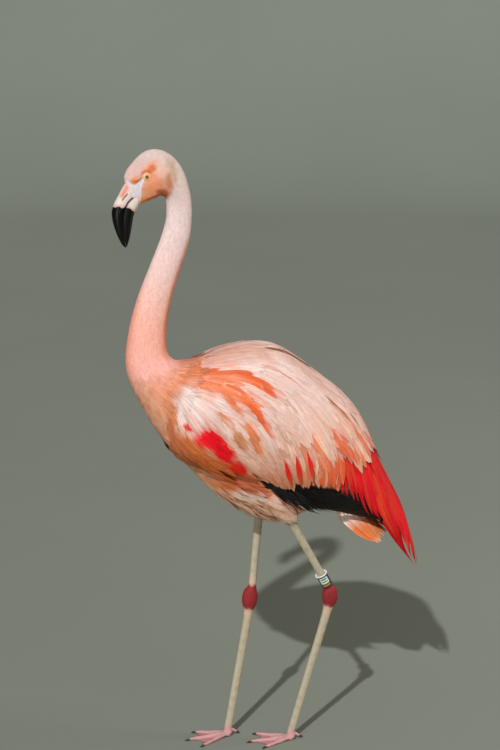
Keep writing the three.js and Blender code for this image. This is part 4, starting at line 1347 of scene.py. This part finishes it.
# Lie of the coat over the folded wing: x, z and the degrees below level its plumes point.
lieMap = [
    (-0.205, 0.690, 30), (-0.205, 0.640, 70), (-0.190, 0.590, 55), (-0.150, 0.560, 28),
    (-0.100, 0.548, 22), (-0.050, 0.535, 30), (-0.150, 0.700, 30), (-0.150, 0.640, 50),
    (-0.100, 0.740, 12), (-0.100, 0.680, 34), (-0.100, 0.610, 48), (-0.050, 0.755, 10),
    (-0.040, 0.690, 40), (-0.040, 0.620, 58), (-0.040, 0.560, 62), (0.000, 0.756, 14), (0.020, 0.700, 40),
    (0.020, 0.620, 62), (0.020, 0.540, 78), (0.060, 0.725, 32), (0.070, 0.650, 52), (0.070, 0.570, 70),
    (0.075, 0.510, 84), (0.110, 0.690, 42), (0.120, 0.600, 62), (0.120, 0.510, 78), (0.150, 0.650, 50),
    (0.165, 0.560, 64), (0.165, 0.460, 68), (0.215, 0.430, 62), (0.240, 0.460, 66), (0.285, 0.320, 73),
]
lieX, lieZ, lieTilt = np.array(lieMap).T


def cloakFlow(point, alongS):
    p = point - shift
    away = (p[:, None, 0] - lieX) ** 2 + (p[:, None, 2] - lieZ) ** 2
    weight = np.exp(-away / 0.0011) + 1e-9 / (away + 1e-6)
    tilt = np.radians((weight * lieTilt).sum(1) / weight.sum(1))
    return np.stack([np.cos(tilt), 0 * tilt, -np.sin(tilt)], 1)


def bodyFlow(point, alongS):
    return unit(alongS)


def lineFlow(line):
    x, z = np.array(line).T
    slope = np.gradient(z, x)

    def flow(point, alongS):
        rise = np.interp(point[:, 0] - shift[0], x, slope)
        return unit(np.stack([np.ones_like(rise), 0 * rise, rise], 1))

    return flow


def onSide(surface, x, z, side):
    # The place on a surface that is seen at x, z from one side.
    places, turns = np.linspace(0, surface["last"], 180), np.radians(np.linspace(92, 268, 110))
    s, theta = np.meshgrid(places, turns, indexing="ij")
    grid = surface["at"](s, theta)[..., [0, 2]].reshape(-1, 2) - [shift[0], 0]
    wanted = np.stack([x, z], -1)
    nearest = ((wanted[:, None] - grid[None]) ** 2).sum(-1).argmin(1)
    s, theta = s.ravel()[nearest], theta.ravel()[nearest]
    for _ in range(4):
        point, alongS, alongT, _ = frameAt(surface, s, theta)
        miss = wanted + [shift[0], 0] - point[:, [0, 2]]
        a, b, c, d = alongS[:, 0], alongT[:, 0], alongS[:, 2], alongT[:, 2]
        scale = a * d - b * c
        scale = np.where(np.abs(scale) < 1e-7, 1e-7, scale)
        s = np.clip(s + np.clip((d * miss[:, 0] - b * miss[:, 1]) / scale, -0.3, 0.3), 0, surface["last"])
        turned = theta + np.clip((a * miss[:, 1] - c * miss[:, 0]) / scale, -0.1, 0.1)
        theta = np.clip(turned, math.pi * 0.5, math.pi * 1.49)
    return s, theta if side < 0 else math.pi - theta


def tract(surface, s, theta, flow, length, half, tint, spread, keep=None, trim=None, edge=None, **form):
    # One kind of feather over a region: grown, culled, shaped and coloured.
    length = np.broadcast_to(length, len(s)).astype(float)
    g = growVanes(surface, s, theta, length, flow, **form)
    whole = trimVanes(g, trim) if trim else np.ones(len(s), bool)
    g["camber"] = form.get("camber", 0.12)
    g["half"] = np.broadcast_to(half, len(s))[:, None] * vaneShape(g["share"], form.get("kind", "body"))[None]
    g["colour"] = tint(g) * (1 + spread * rng.standard_normal((len(s), 1, 1)))
    if edge is not None:
        g["edge"] = g["colour"] * edge
    chosenOnes = whole & keep(g) if keep else whole
    if not chosenOnes.all():
        for key in (*vaneKeys, "half", "colour", "edge"):
            if key in g:
                g[key] = g[key][chosenOnes]
    return g


# Feathers of head, neck, breast and belly: station, gap between roots, length, half the width.
bodyCoat = [
    (0.0, 0.00135, 0.0030, 0.0008),
    (2.0, 0.00150, 0.0038, 0.0009),
    (6.0, 0.00190, 0.0055, 0.0013),
    (9.0, 0.00270, 0.0085, 0.0018),
    (14.0, 0.00340, 0.0120, 0.0023),
    (16.0, 0.00420, 0.0180, 0.0030),
    (18.0, 0.00560, 0.0270, 0.0042),
    (20.0, 0.00680, 0.0360, 0.0055),
    (24.0, 0.00740, 0.0400, 0.0060),
    (28.0, 0.00680, 0.0380, 0.0058),
]


def coatAt(s):
    stations, *columns = np.array(bodyCoat).T
    return [np.interp(s, stations, column) for column in columns]


def offBareSkin(g):
    low = bareAmount(g["centre"]).max(1) < 0.35
    eye = (eyeReach(g["centre"]) > lid["reach"]) | (np.abs(g["centre"][..., 1]) < lid["side"])
    return low & eye.all(1)


def bodyTint(g):
    colour = bodyColour(g["centre"], g["place"][..., 0], g["place"][..., 1])
    return mix(colour, "#fff4ee", 0.16 * g["share"] ** 3)


def fineness(point):
    return 0.6 + 0.4 * smooth(0.009, 0.018, eyeReach(point))


def anywhere(s, theta):
    return s >= 0


def openBody(s, theta):
    # The trunk where the folded wings leave it bare.
    return (s < 21.8) | (np.sin(theta) < 0.22 - 0.27 * (s > 22)) | (s > 27)


def bodyTract(sLow, sHigh, keep=None, points=4, rise=0.05, spread=0.04, where=anywhere):
    def gap(point, s, theta):
        return coatAt(s)[0] * fineness(point) * np.where(where(s, theta), 1, -1)

    s, theta = scatter(body, (sLow, sHigh), (-math.pi / 2, 1.5 * math.pi), gap)
    n = len(s)
    small = fineness(body["at"](s, theta))
    _, length, half = coatAt(s)
    length = length * small * rng.uniform(0.85, 1.15, n)
    half = half * small * rng.uniform(0.85, 1.15, n)
    growth = {"points": points, "turn": rng.normal(0, 0.07, n), "depth": -coatDepth(s), "lift": 0.0001}
    growth["rise"] = np.interp(s, [0, 12, 16], [0.028, 0.034, rise])[:, None] if sLow < 12 else rise
    g = tract(body, s, theta, bodyFlow, length, half, bodyTint, spread, keep, **growth)
    if sLow < 8:
        g["centre"][..., 1] += np.sign(g["centre"][..., 1]) * faceOffset(g["centre"])
    return g


vaneMesh("headFeathers", [bodyTract(0.05, 8.2, offBareSkin)], downMaterial, "pale_plumage")
vaneMesh("neckFeathers", [bodyTract(8.0, 16.2, spread=0.05)], downMaterial, "coral_plumage")
breast = bodyTract(16.0, 27.6, points=5, rise=0.06, spread=0.07, where=openBody)
vaneMesh("breastFeathers", [breast], breastMaterial, "coral_plumage")


def flankFlow(point, alongS):
    # Long plumes of the flank sweep back over the top of the leg.
    return np.array([0.95, 0.0, -0.31]) + 0 * point


# Seen from the side, x and z: where the orange of the wing's front ends, and a tan streak below it.
orangeEdge = [
    (-0.147, 0.527), (-0.103, 0.502), (-0.073, 0.499), (-0.045, 0.499), (-0.014, 0.489), (0.010, 0.474),
]
flankStreak = [(-0.100, 0.494), (-0.068, 0.476), (-0.020, 0.466), (0.027, 0.461), (0.050, 0.452)]


def flankTint(g):
    p = g["centre"] - shift
    uneven = 0.003 * wobble(p, 0.02, 4.0)
    base = mix("#f2cfb2", "#e29a66", rng.uniform(0, 1, len(p)))[:, None] + 0 * p
    overStreak = heightOver(flankStreak, p) + uneven
    base = mix(base, "#f4e2d6", 0.8 * smooth(0.003, 0.008, overStreak) * smooth(-0.085, -0.065, p[..., 0]))
    base = mix(base, "#d4824e", 0.7 * smooth(0.007, 0.003, np.abs(overStreak)))
    orange = smooth(-0.003, 0.003, heightOver(orangeEdge, p) + uneven)
    base = mix(base, "#d4662e", 0.9 * orange)
    front = smooth(-0.085, -0.135, p[..., 0] + 0.010 * wobble(p, 0.02, 7.0))
    base = mix(base, bodyColour(g["centre"], g["place"][..., 0], g["place"][..., 1]), front)
    return mix(base, "#f3dcc6", 0.5 * smooth(0.55, 1.0, g["share"]) * (1 - front) * (1 - orange))


def aboveHock(p):
    return (heightOver(thighEdge, p) < 0.004) & (p[..., 0] < 0.052) & (p[..., 2] > 0.432)


def underThighEdge(g):
    # Nothing of the flank reaches over the black quills behind it.
    tip = g["centre"][:, -1] - shift
    return (heightOver(thighEdge, tip) < 0.004) & (tip[:, 0] < 0.054)


# The folded wing from the side, x and z: the black quills' lower edge, the red quills' points, the rear
# edge of the flank's plumes, the ridge of the red quills, the ends of the pale plumes, and all that is red.
quillEdge = [
    (-0.010, 0.474), (0.018, 0.457), (0.049, 0.440), (0.085, 0.437), (0.120, 0.439), (0.157, 0.436),
    (0.185, 0.428), (0.217, 0.412), (0.236, 0.392),
]
redEdge = [
    (0.103, 0.494), (0.123, 0.476), (0.144, 0.464), (0.165, 0.455), (0.182, 0.445), (0.200, 0.434),
    (0.219, 0.415), (0.240, 0.374), (0.254, 0.332), (0.276, 0.308), (0.297, 0.298), (0.290, 0.330),
    (0.276, 0.368),
]
thighEdge = [
    (-0.130, 0.560), (-0.048, 0.528), (-0.024, 0.510), (-0.008, 0.489), (0.006, 0.477), (0.021, 0.465),
    (0.049, 0.448),
]
cloakOutline = [row[0:2] for row in cloakRows] + [row[2:4] for row in cloakRows[::-1]]
redRidge = [(0.182, 0.570), (0.204, 0.532), (0.228, 0.488), (0.250, 0.440), (0.268, 0.390)]
paleEdge = [
    (0.100, 0.506), (0.106, 0.540), (0.118, 0.556), (0.136, 0.540), (0.155, 0.525), (0.170, 0.538),
    (0.187, 0.553),
]
redZone = [
    (0.104, 0.572), (0.098, 0.500), (0.152, 0.440), (0.290, 0.270), (0.340, 0.300), (0.280, 0.430),
    (0.196, 0.553), (0.160, 0.521), (0.130, 0.550),
]


fromTip = {"points": 9, "back": True, "rise": 0.008}


def alongLine(line, count, jitter):
    points = np.array(line)
    lengths = np.concatenate([[0], np.cumsum(np.linalg.norm(np.diff(points, axis=0), axis=1))])
    t = np.linspace(0, lengths[-1], count) + rng.uniform(-jitter, jitter, count)
    return np.interp(t, lengths, points[:, 0]), np.interp(t, lengths, points[:, 1])


def plain(tone, tipTone):
    def tint(g):
        # The tone runs from root to tip of each feather.
        return mix(linear(tone) + 0 * g["centre"], tipTone, smooth(0.4, 1.0, g["share"]))

    return tint


def edgeTract(side, line, count, inward, length, half, tint, flow=cloakFlow, **form):
    # Vanes whose points make an edge: rows of them, each a little further in.
    groups = []
    depth, layer = form.pop("depth", -0.006), form.pop("layer", 0.0012)
    for row, (dx, dz) in enumerate(inward):
        x, z = alongLine(line, count, 0.004)
        within = insideOutline(x + dx, z + dz, cloakOutline) > -0.004
        s, theta = onSide(cloak, (x + dx)[within], (z + dz)[within], side)
        n = len(s)
        options = {**fromTip, "spread": 0.05, "turn": rng.normal(0, 0.03, n), **form}
        span = length * rng.uniform(0.88, 1.1, n)
        wide = half * rng.uniform(0.85, 1.15, n)
        groups.append(tract(cloak, s, theta, flow, span, wide, tint, depth=depth + row * layer, **options))
    return groups


def sideTract(surface, sRange, where, gap, length, half, tint, flow=cloakFlow, low=-35, **form):
    # Vanes spread over the part of a surface where the mask holds, on both sides, down to an angle.
    def spacing(point, s, theta):
        return np.where(where(point - shift, s), gap, -1)

    s, theta = scatter(surface, sRange, (math.radians(low), math.radians(180 - low)), spacing)
    n = len(s)
    options = {"spread": 0.05, "turn": rng.normal(0, 0.1, n), **form}
    if callable(options["depth"]):
        options["depth"] = options["depth"](surface["at"](s, theta) - shift, s)
    wide = half * rng.uniform(0.85, 1.15, n)
    return tract(surface, s, theta, flow, length * rng.uniform(0.85, 1.15, n), wide, tint, **options)


def clearOfQuills(p):
    # The pale plumes stop short of the red and the black quills.
    uneven = 0.004 * wobble(p, 0.012, 6.0)
    free = insideOutline(p[..., 0], p[..., 2], redZone) < uneven
    return free & ((heightOver(covertEdge, p) > uneven - 0.004) | (p[..., 0] > 0.106))


# The lower front border of the red quills.
redFront = [
    (0.094, 0.505), (0.103, 0.494), (0.120, 0.474), (0.150, 0.460), (0.168, 0.448), (0.190, 0.436),
    (0.217, 0.414), (0.240, 0.372), (0.254, 0.330), (0.276, 0.300),
]


def clearOfBlack(p):
    return (heightOver(covertEdge, p) > 0.004 * wobble(p, 0.012, 6.0) - 0.003) | (p[..., 0] < -0.072)


def behindQuills(g):
    p = g["centre"][:, :-1] - shift
    return ((heightOver(redFront, p) > 0.0) & (p[..., 0] > 0.072)).all(1)


def redTint(g):
    p = g["centre"]
    colour = mix("#ff1a20", "#f60026", rng.uniform(0, 1, len(p)))[:, None] + 0 * p
    orange = 0.8 * (rng.uniform(0, 1, (len(p), 1)) < 0.22) + 0.0 * p[..., 0]
    colour = mix(colour, "#f8502a", orange)
    return mix(colour, "#fa3428", 0.3 * smooth(0.5, 0.0, g["share"]))


def plumeTint(g, own=0.35):
    # A feather mostly carries the colour of the part that shows, past its middle.
    colour = cloakColour(g["centre"])
    middle = colour[:, colour.shape[1] * 2 // 3][:, None]
    tone = mix("#ffffff", "#e9b79c", rng.uniform(0, 1, len(colour)) ** 3)[:, None]
    colour = (own * colour + (1 - own) * middle) * (0.35 + 0.65 * tone)
    paleness = smooth(0.15, 0.6, middle[..., 1])
    return mix(colour, "#fff3ec", 0.3 * paleness * g["share"] ** 3)


def covertTint(g):
    return plumeTint(g, 0.75)


def shoulderTint(g):
    colour = bodyColour(g["centre"], g["place"][..., 0], g["place"][..., 1])
    return mix(colour, plumeTint(g, 0.6), smooth(-0.004, 0.020, behindFront(g["centre"] - shift)))


def hangingTint(g):
    p = g["centre"] - shift
    warm = mix("#e6b592", "#cf7f4c", rng.uniform(0, 1, len(p)))[:, None] + 0 * p
    colour = mix(linear("#f0d5c9") + 0 * p, warm, smooth(0.60, 0.53, p[..., 2]))
    glow = (rng.uniform(0, 1, (len(p), 1)) < 0.6) * smooth(0.040, 0.060, p[..., 0])
    colour = mix(colour, "#ee6236", 0.85 * glow * smooth(0.60, 0.56, p[..., 2]))
    return mix(colour, "#f0d6c2", 0.35 * smooth(0.9, 1.0, g["share"]))


def bendTint(g):
    return cloakColour(g["centre"])


def liningTint(g):
    p = g["centre"]
    return mix("#dd8f5c", "#c87a42", rng.uniform(0, 1, len(p)))[:, None] + 0 * p


def scapularTint(g):
    # Pale plumes, some of them orange or red toward their ends.
    colour = plumeTint(g)
    n = len(colour)
    tip = g["centre"][:, -1] - shift
    chance = 0.15 + 0.5 * smooth(0.02, 0.10, tip[:, 0]) * smooth(0.64, 0.56, tip[:, 2])
    tone = mix("#ee8a55", "#ea4438", rng.uniform(0, 1, n) * smooth(0.05, 0.12, tip[:, 0]))
    share = 0.8 * (rng.uniform(0, 1, n) < chance)[:, None] * smooth(0.35, 0.7, g["share"])[None]
    colour = mix(colour, tone[:, None] + 0 * colour, share)
    p = g["centre"] - shift
    low = smooth(0.036, 0.052, p[..., 0]) * smooth(0.112, 0.098, p[..., 0]) * smooth(0.575, 0.545, p[..., 2])
    return mix(colour, "#e8693c", 0.8 * low * (rng.uniform(0, 1, (n, 1)) < 0.65))


def paleRearTint(g):
    colour = cloakColour(g["centre"])
    warm = rng.uniform(0, 1, (len(colour), 1)) ** 1.6
    colour = mix(colour, "#e59a70", 0.7 * warm)
    return mix(colour, "#f8ece4", 0.35 * g["share"] ** 2)


def slope(count, dx, dz, start=0.0):
    return [(dx * k, dz * k + start) for k in range(count)]


# Rims, as the share of a vane's own colour (the two darker ones are painted shade along the vanes' edges, the
# pale one a pale fringe), then each kind of quill and plume of the folded wing.
warmEdgeShade, paleRim, redEdgeShade = (np.array(v) for v in ((0.90, 0.76, 0.66), (1.10, 1.08, 1.06), (0.85, 0.6, 0.6)))
# gapShade is a brown tone for painted shadow in the gaps between plumes.
black, vivid, gapShade = plain("#0b0b0e", "#151112"), plain("#f8241c", "#ee5a30"), plain("#a86a4c", "#c08a68")
flat = {"half": 0.0085, "tint": black, "kind": "long", "rise": 0.004, "depth": -0.0130, "layer": 0.0004}
redKind = {"tint": redTint, "edge": redEdgeShade, "kind": "long", "spread": 0.08}
low = {**redKind, "depth": -0.0105, "layer": 0.0004, "keep": behindQuills}
broad = {"kind": "soft", "crowd": 1.5, "camber": 0.16, "points": 12}
hang = {**broad, "tint": hangingTint, "length": 0.125, "half": 0.0135, "depth": -0.0072, "spread": 0.07}
paleRear = {**broad, "tint": paleRearTint, "length": 0.140, "half": 0.0105, "depth": -0.0062, "spread": 0.05}
foreLine = [(0.016, 0.494), (0.046, 0.481), (0.078, 0.477)]
foreShift = {"out": 0.016, "down": -0.021}
spike = [(0.171, 0.440), (0.178, 0.427)]
hangRows = [(0.0, 0.002), (0.008, 0.016), (-0.004, 0.032)]
rearRows = [(0.0, 0.0), (-0.010, 0.014), (-0.006, 0.032), (-0.014, 0.050)]
# Slender vanes that show as thin lines between the plumes: points, count, length, half the width, tone and
# depth. The brown ones are painted shadow in the gaps between the plumes.
slitLines = [
    ([(0.016, 0.514), (0.034, 0.513), (0.054, 0.519)], 3, 0.066, 0.0042, vivid, 0.0004),
    ([(0.118, 0.640), (0.140, 0.612), (0.160, 0.600)], 3, 0.045, 0.0014, gapShade, 0.0002),
    ([(0.014, 0.748), (0.033, 0.739), (0.060, 0.722), (0.082, 0.706)], 6, 0.040, 0.0021, gapShade, 0.0002),
]
along = lineFlow(quillEdge)
quills, reds, hanging, rear, slits = [], [], [], [], []
for side in (-1, 1):
    rows = slope(8, 0.002, 0.0085, -0.003)
    quills += edgeTract(side, quillEdge[1:5], 11, rows, length=0.105, flow=along, straight=0.6, **flat)
    quills += edgeTract(side, quillEdge[4:], 11, rows[:5], length=0.105, flow=along, **flat)
    # The front ones hang out past the top of the leg.
    fore = edgeTract(side, foreLine, 8, rows[:2], length=0.095, flow=along, straight=0.5, **flat)
    for g in fore:
        outward = np.array([0, foreShift["out"], 0]) * np.sign(g["centre"][..., 1:2])
        off = (outward + [0, 0, foreShift["down"]]) * smooth(0.35, 0.95, g["share"])[:, None]
        g["centre"] = g["centre"] + off
    quills += fore
    reds += edgeTract(side, redEdge, 24, slope(6, -0.010, 0.009), length=0.125, half=0.0105, **low)
    reds += edgeTract(side, spike, 2, [(0.0, 0.0)], length=0.100, half=0.0060, **{**low, "keep": None})
    reds += edgeTract(side, redRidge, 16, slope(5, -0.007, 0.0), length=0.110, half=0.0090, **low)
    ridge = np.radians(90 + rng.uniform(0, 24, 18) * -side)
    options = {"length": 0.105, "half": 0.0095, "depth": -0.0100, **fromTip, **redKind}
    reds.append(tract(cloak, np.linspace(10.6, 13.2, 18), ridge, cloakFlow, **options))
    hanging += edgeTract(side, covertEdge, 11, hangRows, edge=warmEdgeShade, **hang)
    rear += edgeTract(side, paleEdge, 11, rearRows, edge=paleRim, **paleRear)
    for line, count, length, half, tone, depth in slitLines:
        slits += edgeTract(side, line, count, [(0.0, 0.0)], length, half, tone, depth=depth, kind="spindle")
flightNodes = ("flight_feathers_left", "flight_feathers_right")
vaneMesh("blackQuills", quills, flightMaterial, "flight_plumage", *flightNodes)
vaneMesh("redQuills", reds, plumeMaterial, "wing_plumage")
vaneMesh("hangingPlumes", hanging + rear + slits, plumeMaterial, "wing_plumage")


def frontDepth(p, s, full=-0.0035):
    # Roots start deep at the wing's front edge and come up over it.
    return full - 0.0085 * smooth(0.026, 0.0, behindFront(p)) * smooth(4.5, 2.5, s)


def bendDepth(p, s):
    return frontDepth(p, s) + 0.0012


def liningDepth(p, s):
    return np.interp(s, [0, 1.1], [-0.033, -0.0115])


def onScapulars(p, s):
    return (p[..., 0] > -0.11) & (heightOver(covertEdge, p) > 0.085)


def onCoverts(p, s):
    return (p[..., 0] < 0.0) & (p[..., 2] < 0.70) & (heightOver(covertEdge, p) > 0.03) & (behindFront(p) > 0)


def onMantle(p, s):
    return p[..., 2] > 0.665


def onBend(p, s):
    return (np.abs(behindFront(p) - 0.010) < 0.012) & (p[..., 2] < 0.725)


def onShoulder(p, s):
    return behindFront(p) > -0.012


def onFlank(p, s):
    return (p[..., 0] > -0.150) & (p[..., 0] < 0.030) & (p[..., 2] < 0.545)


def onLining(p, s):
    return (p[..., 0] < 0.01) & ((heightOver(covertEdge, p) < 0.05) | (s < 2.2))


# Each coat: where it grows, gap between roots, length and half the width of its vanes, then how they grow.
plume = {"kind": "soft", "crowd": 1.3, "points": 11, "camber": 0.13, "spread": 0.05}
scapularCoat = {"gap": 0.0140, "length": 0.128, "half": 0.0108, "depth": -0.0045, "rise": 0.014}
scapularCoat.update({**plume, "trim": clearOfQuills, "edge": paleRim})
covertCoat = {"gap": 0.0100, "length": 0.066, "half": 0.0084, "depth": frontDepth, "rise": 0.026}
covertCoat.update({**plume, "spread": 0.06, "trim": clearOfBlack, "edge": warmEdgeShade})
mantleCoat = {"gap": 0.0122, "length": 0.095, "half": 0.0094, "depth": frontDepth, "rise": 0.016}
mantleCoat.update({**plume, "points": 10, "edge": paleRim})
bendCoat = {"gap": 0.0052, "length": 0.032, "half": 0.0046, "depth": bendDepth, "rise": 0.05}
bendCoat.update({"low": -70, "points": 7, "spread": 0.09, "edge": warmEdgeShade})
shoulderCoat = {"gap": 0.0072, "length": 0.046, "half": 0.0062, "depth": -0.003, "rise": 0.022}
shoulderCoat.update({"kind": "soft", "points": 8, "spread": 0.06, "straight": 0.2})
flankCoat = {"gap": 0.0110, "length": 0.078, "half": 0.0080, "depth": -0.0035, "rise": 0.07, "low": -84}
flankCoat.update({"kind": "soft", "points": 9, "spread": 0.06, "straight": 0.3, "camber": 0.13})
liningCoat = {"gap": 0.0062, "length": 0.030, "half": 0.0052, "depth": liningDepth, "rise": 0.01, "low": -70}
liningCoat.update({"points": 6, "keep": underThighEdge})
scapulars = sideTract(cloak, (2.5, 9.5), onScapulars, tint=scapularTint, **scapularCoat)
coverts = sideTract(cloak, (0.0, 7.0), onCoverts, tint=covertTint, **covertCoat)
mantle = sideTract(cloak, (0.0, 6.5), onMantle, tint=plumeTint, **mantleCoat)
bend = sideTract(cloak, (0.0, 3.5), onBend, tint=bendTint, **bendCoat)
shoulder = sideTract(body, (16.4, 20.5), onShoulder, tint=shoulderTint, **shoulderCoat)
flank = sideTract(
    body, (20.0, 25.6), onFlank, tint=flankTint, flow=flankFlow, keep=underThighEdge, **flankCoat
)
under = sideTract(cloak, (0.0, 6.0), onLining, tint=liningTint, **liningCoat)
vaneMesh("flankPlumes", [flank, under], plumeMaterial, "coral_plumage")
vaneMesh("wingPlumes", [scapulars], plumeMaterial, "wing_plumage", "wing_left", "wing_right")
vaneMesh("wingCoverts", [coverts, mantle, bend, shoulder], plumeMaterial, "wing_plumage")

# Tail: a fan of short quills that leaves the vent under the wings, pale at its root.
tailRoot = np.array([0.112, 0.0, 0.455])
tailTips = {"x": 0.202, "back": 0.036, "across": 0.040, "z": 0.3740, "up": 0.016}
tailForm = {
    "above": {"spread": 0.9, "bow": 0.008, "drop": 0.0, "up": 1, "station": 0.6},
    "below": {"spread": 0.34, "bow": -0.0048, "drop": 0.010, "up": -1, "station": 2.0},
}


def tailFan(face, count, start, end, half, tint):
    form = tailForm[face]
    across = rng.uniform(-1, 1, count) if count > 20 else np.linspace(-1, 1, count)
    a, b = rng.uniform(*start, count), rng.uniform(*end, count)
    inner = 1 - np.abs(across)
    height = tailTips["z"] + tailTips["up"] * inner - form["drop"] * inner
    tips = np.stack([tailTips["x"] + tailTips["back"] * inner, tailTips["across"] * across, height], 1)
    share = np.linspace(0, 1, 9)
    way = (a[:, None] + (b - a)[:, None] * share)[..., None]
    bow = np.sin(np.pi * way) * np.array([0.0, 0.0, form["bow"]])
    centre = tailRoot + shift + (tips - tailRoot)[:, None] * way + bow
    along = unit(np.gradient(centre, axis=1))
    up = form["up"] * (form["spread"] - 0.5 * np.abs(across))
    out = unit(np.stack([0.3 + 0 * across, 1.5 * across, up], 1))[:, None]
    normal = unit(out - along * dot(along, out)[..., None])
    place = np.stack([4 * way[..., 0], form["station"] + across[:, None] + 0 * way[..., 0]], -1)
    centre = centre + normal * 0.004 * (1 - way)
    g = dict(zip(vaneKeys, (centre, normal, along, place)))
    g.update({"share": share, "surface": tail, "camber": 0.14})
    g["half"] = half * rng.uniform(0.85, 1.15, (count, 1)) * vaneShape(share, "soft")[None]
    g["colour"] = tint(g) * (1 + 0.07 * rng.standard_normal((count, 1, 1)))
    return g


def tailTint(g):
    way = np.linalg.norm(g["centre"] - shift - tailRoot, axis=-1) + 0.008 * wobble(g["centre"], 0.01, 2.0)
    warm = mix("#e8783a", "#efa06a", rng.uniform(0, 1, len(way)) ** 2)[:, None]
    colour = mix(linear("#f3e6dc") + 0 * g["centre"], warm, smooth(0.050, 0.078, way))
    return mix(colour, "#f6d8bc", 0.7 * smooth(0.93, 1.0, g["share"]))


# Rows of the fan: vanes, where they start and end between root and tip, half the width.
fans = [
    tailFan("above", 14, (0.2, 0.3), (0.97, 1.02), 0.0105, tailTint),
    tailFan("below", 12, (0.2, 0.3), (0.90, 0.98), 0.0100, tailTint),
    tailFan("above", 44, (0.1, 0.3), (0.62, 0.84), 0.0072, tailTint),
    tailFan("below", 44, (0.1, 0.3), (0.60, 0.84), 0.0072, tailTint),
    tailFan("above", 40, (0.0, 0.1), (0.40, 0.58), 0.0060, tailTint),
    tailFan("below", 40, (0.0, 0.1), (0.40, 0.58), 0.0060, tailTint),
]
vaneMesh("tailFeathers", fans, plumeMaterial, "coral_plumage", "tail")

# Plumes of the thigh, from the flank down over the top of the shank.
thighCoat = {"kind": "soft", "points": 9, "depth": -0.0045, "rise": 0.06, "spread": 0.05, "trim": aboveHock}


def thighTint(g):
    return mix(flankTint(g), "#f0dccb", 0.7 * smooth(1.8, 3.2, g["place"][..., 0]))


def thighFlow(point, alongS):
    return unit(0.5 * unit(alongS) + [1.0, 0, -0.3])


def thighGap(point, s, theta):
    return np.full(s.shape, 0.0066)


def thighTract(leg):
    surface = rodSurface(legPaths(leg)[1], thighRadii["plumes"])
    s, theta = scatter(surface, (0.4, 3.6), (0, 2 * math.pi), thighGap, (60, 60))
    length = np.interp(s, [0.4, 1.8, 2.8, 3.6], [0.085, 0.066, 0.040, 0.020])
    length = length * rng.uniform(0.85, 1.15, len(s))
    half = np.interp(s, [0.4, 2.6, 3.6], [0.0076, 0.0062, 0.0034])
    return tract(surface, s, theta, thighFlow, length, half, thighTint, **thighCoat)


vaneMesh("thighFeathers", [thighTract(leg) for leg in legs.values()], plumeMaterial, "pale_plumage")

# Ground, backdrop and light.
dish = {"ground": 6.5, "bend": 2.5, "top": 5.0, "sides": 96}


def stagePiece():
    # A wide dish: flat ground that curves up into a wall all round.
    ground, curve, sides = dish["ground"], dish["bend"], dish["sides"]
    profile = [(r, 0.0) for r in (0.5, 2.0, 4.0)]
    for a in np.linspace(0, math.pi / 2, 24):
        profile.append((ground + curve * math.sin(a), curve - curve * math.cos(a)))
    profile.append((ground + curve, dish["top"]))
    turn = np.arange(sides) / sides * 2 * math.pi
    points = [(r * math.cos(t), r * math.sin(t), z) for r, z in profile for t in turn]
    a = np.arange(len(points)).reshape(len(profile), sides)
    b = np.roll(a, -1, 1)
    faces = np.stack([a[:-1], a[1:], b[1:], b[:-1]], -1).reshape(-1, 4).tolist() + [a[0].tolist()]
    piece = meshObject("backdrop", points, faces)
    material, tree, shader = newMaterial("backdrop", 0.9)
    patchy = placeGroup(tree, mottle, Scale=1.2, Contrast=0.6)
    tone = mixColours(tree, patchy.outputs[0], linear("#6f7368"), linear("#7b7f72"))
    tree.links.new(tone, shader.inputs["Base Color"])
    piece.data.materials.append(material)


stagePiece()
lights = [
    ("sun", "SUN", {"energy": 3.05, "angle": 0.02, "color": (0.98, 1.0, 1.05)}, (-2.05, -3.5, 3.95)),
    ("low", "AREA", {"energy": 50, "size": 1.6, "color": (1.0, 0.95, 0.90)}, (-1.9, -3.0, 0.5)),
    ("side", "AREA", {"energy": 58, "size": 1.2, "color": (1.0, 0.94, 0.88)}, (3.2, -0.6, 1.8)),
]
lightAim = Vector((-0.03, 0, 0.6))
for name, kind, settings, place in lights:
    lamp = bpy.data.lights.new(name, kind)
    for key, value in settings.items():
        setattr(lamp, key, value)
    piece = linkPiece(name, lamp)
    piece.location = place
    piece.rotation_euler = (lightAim - piece.location).to_track_quat("-Z", "Y").to_euler()
world = bpy.data.worlds.new("air")
bpy.context.scene.world = world
world.use_nodes = True
air = world.node_tree.nodes["Background"].inputs
air["Color"].default_value, air["Strength"].default_value = (1.0, 0.98, 0.96, 1.0), 0.25
bpy.context.scene.view_settings.view_transform = "Standard"
bpy.context.scene.view_settings.look = "None"
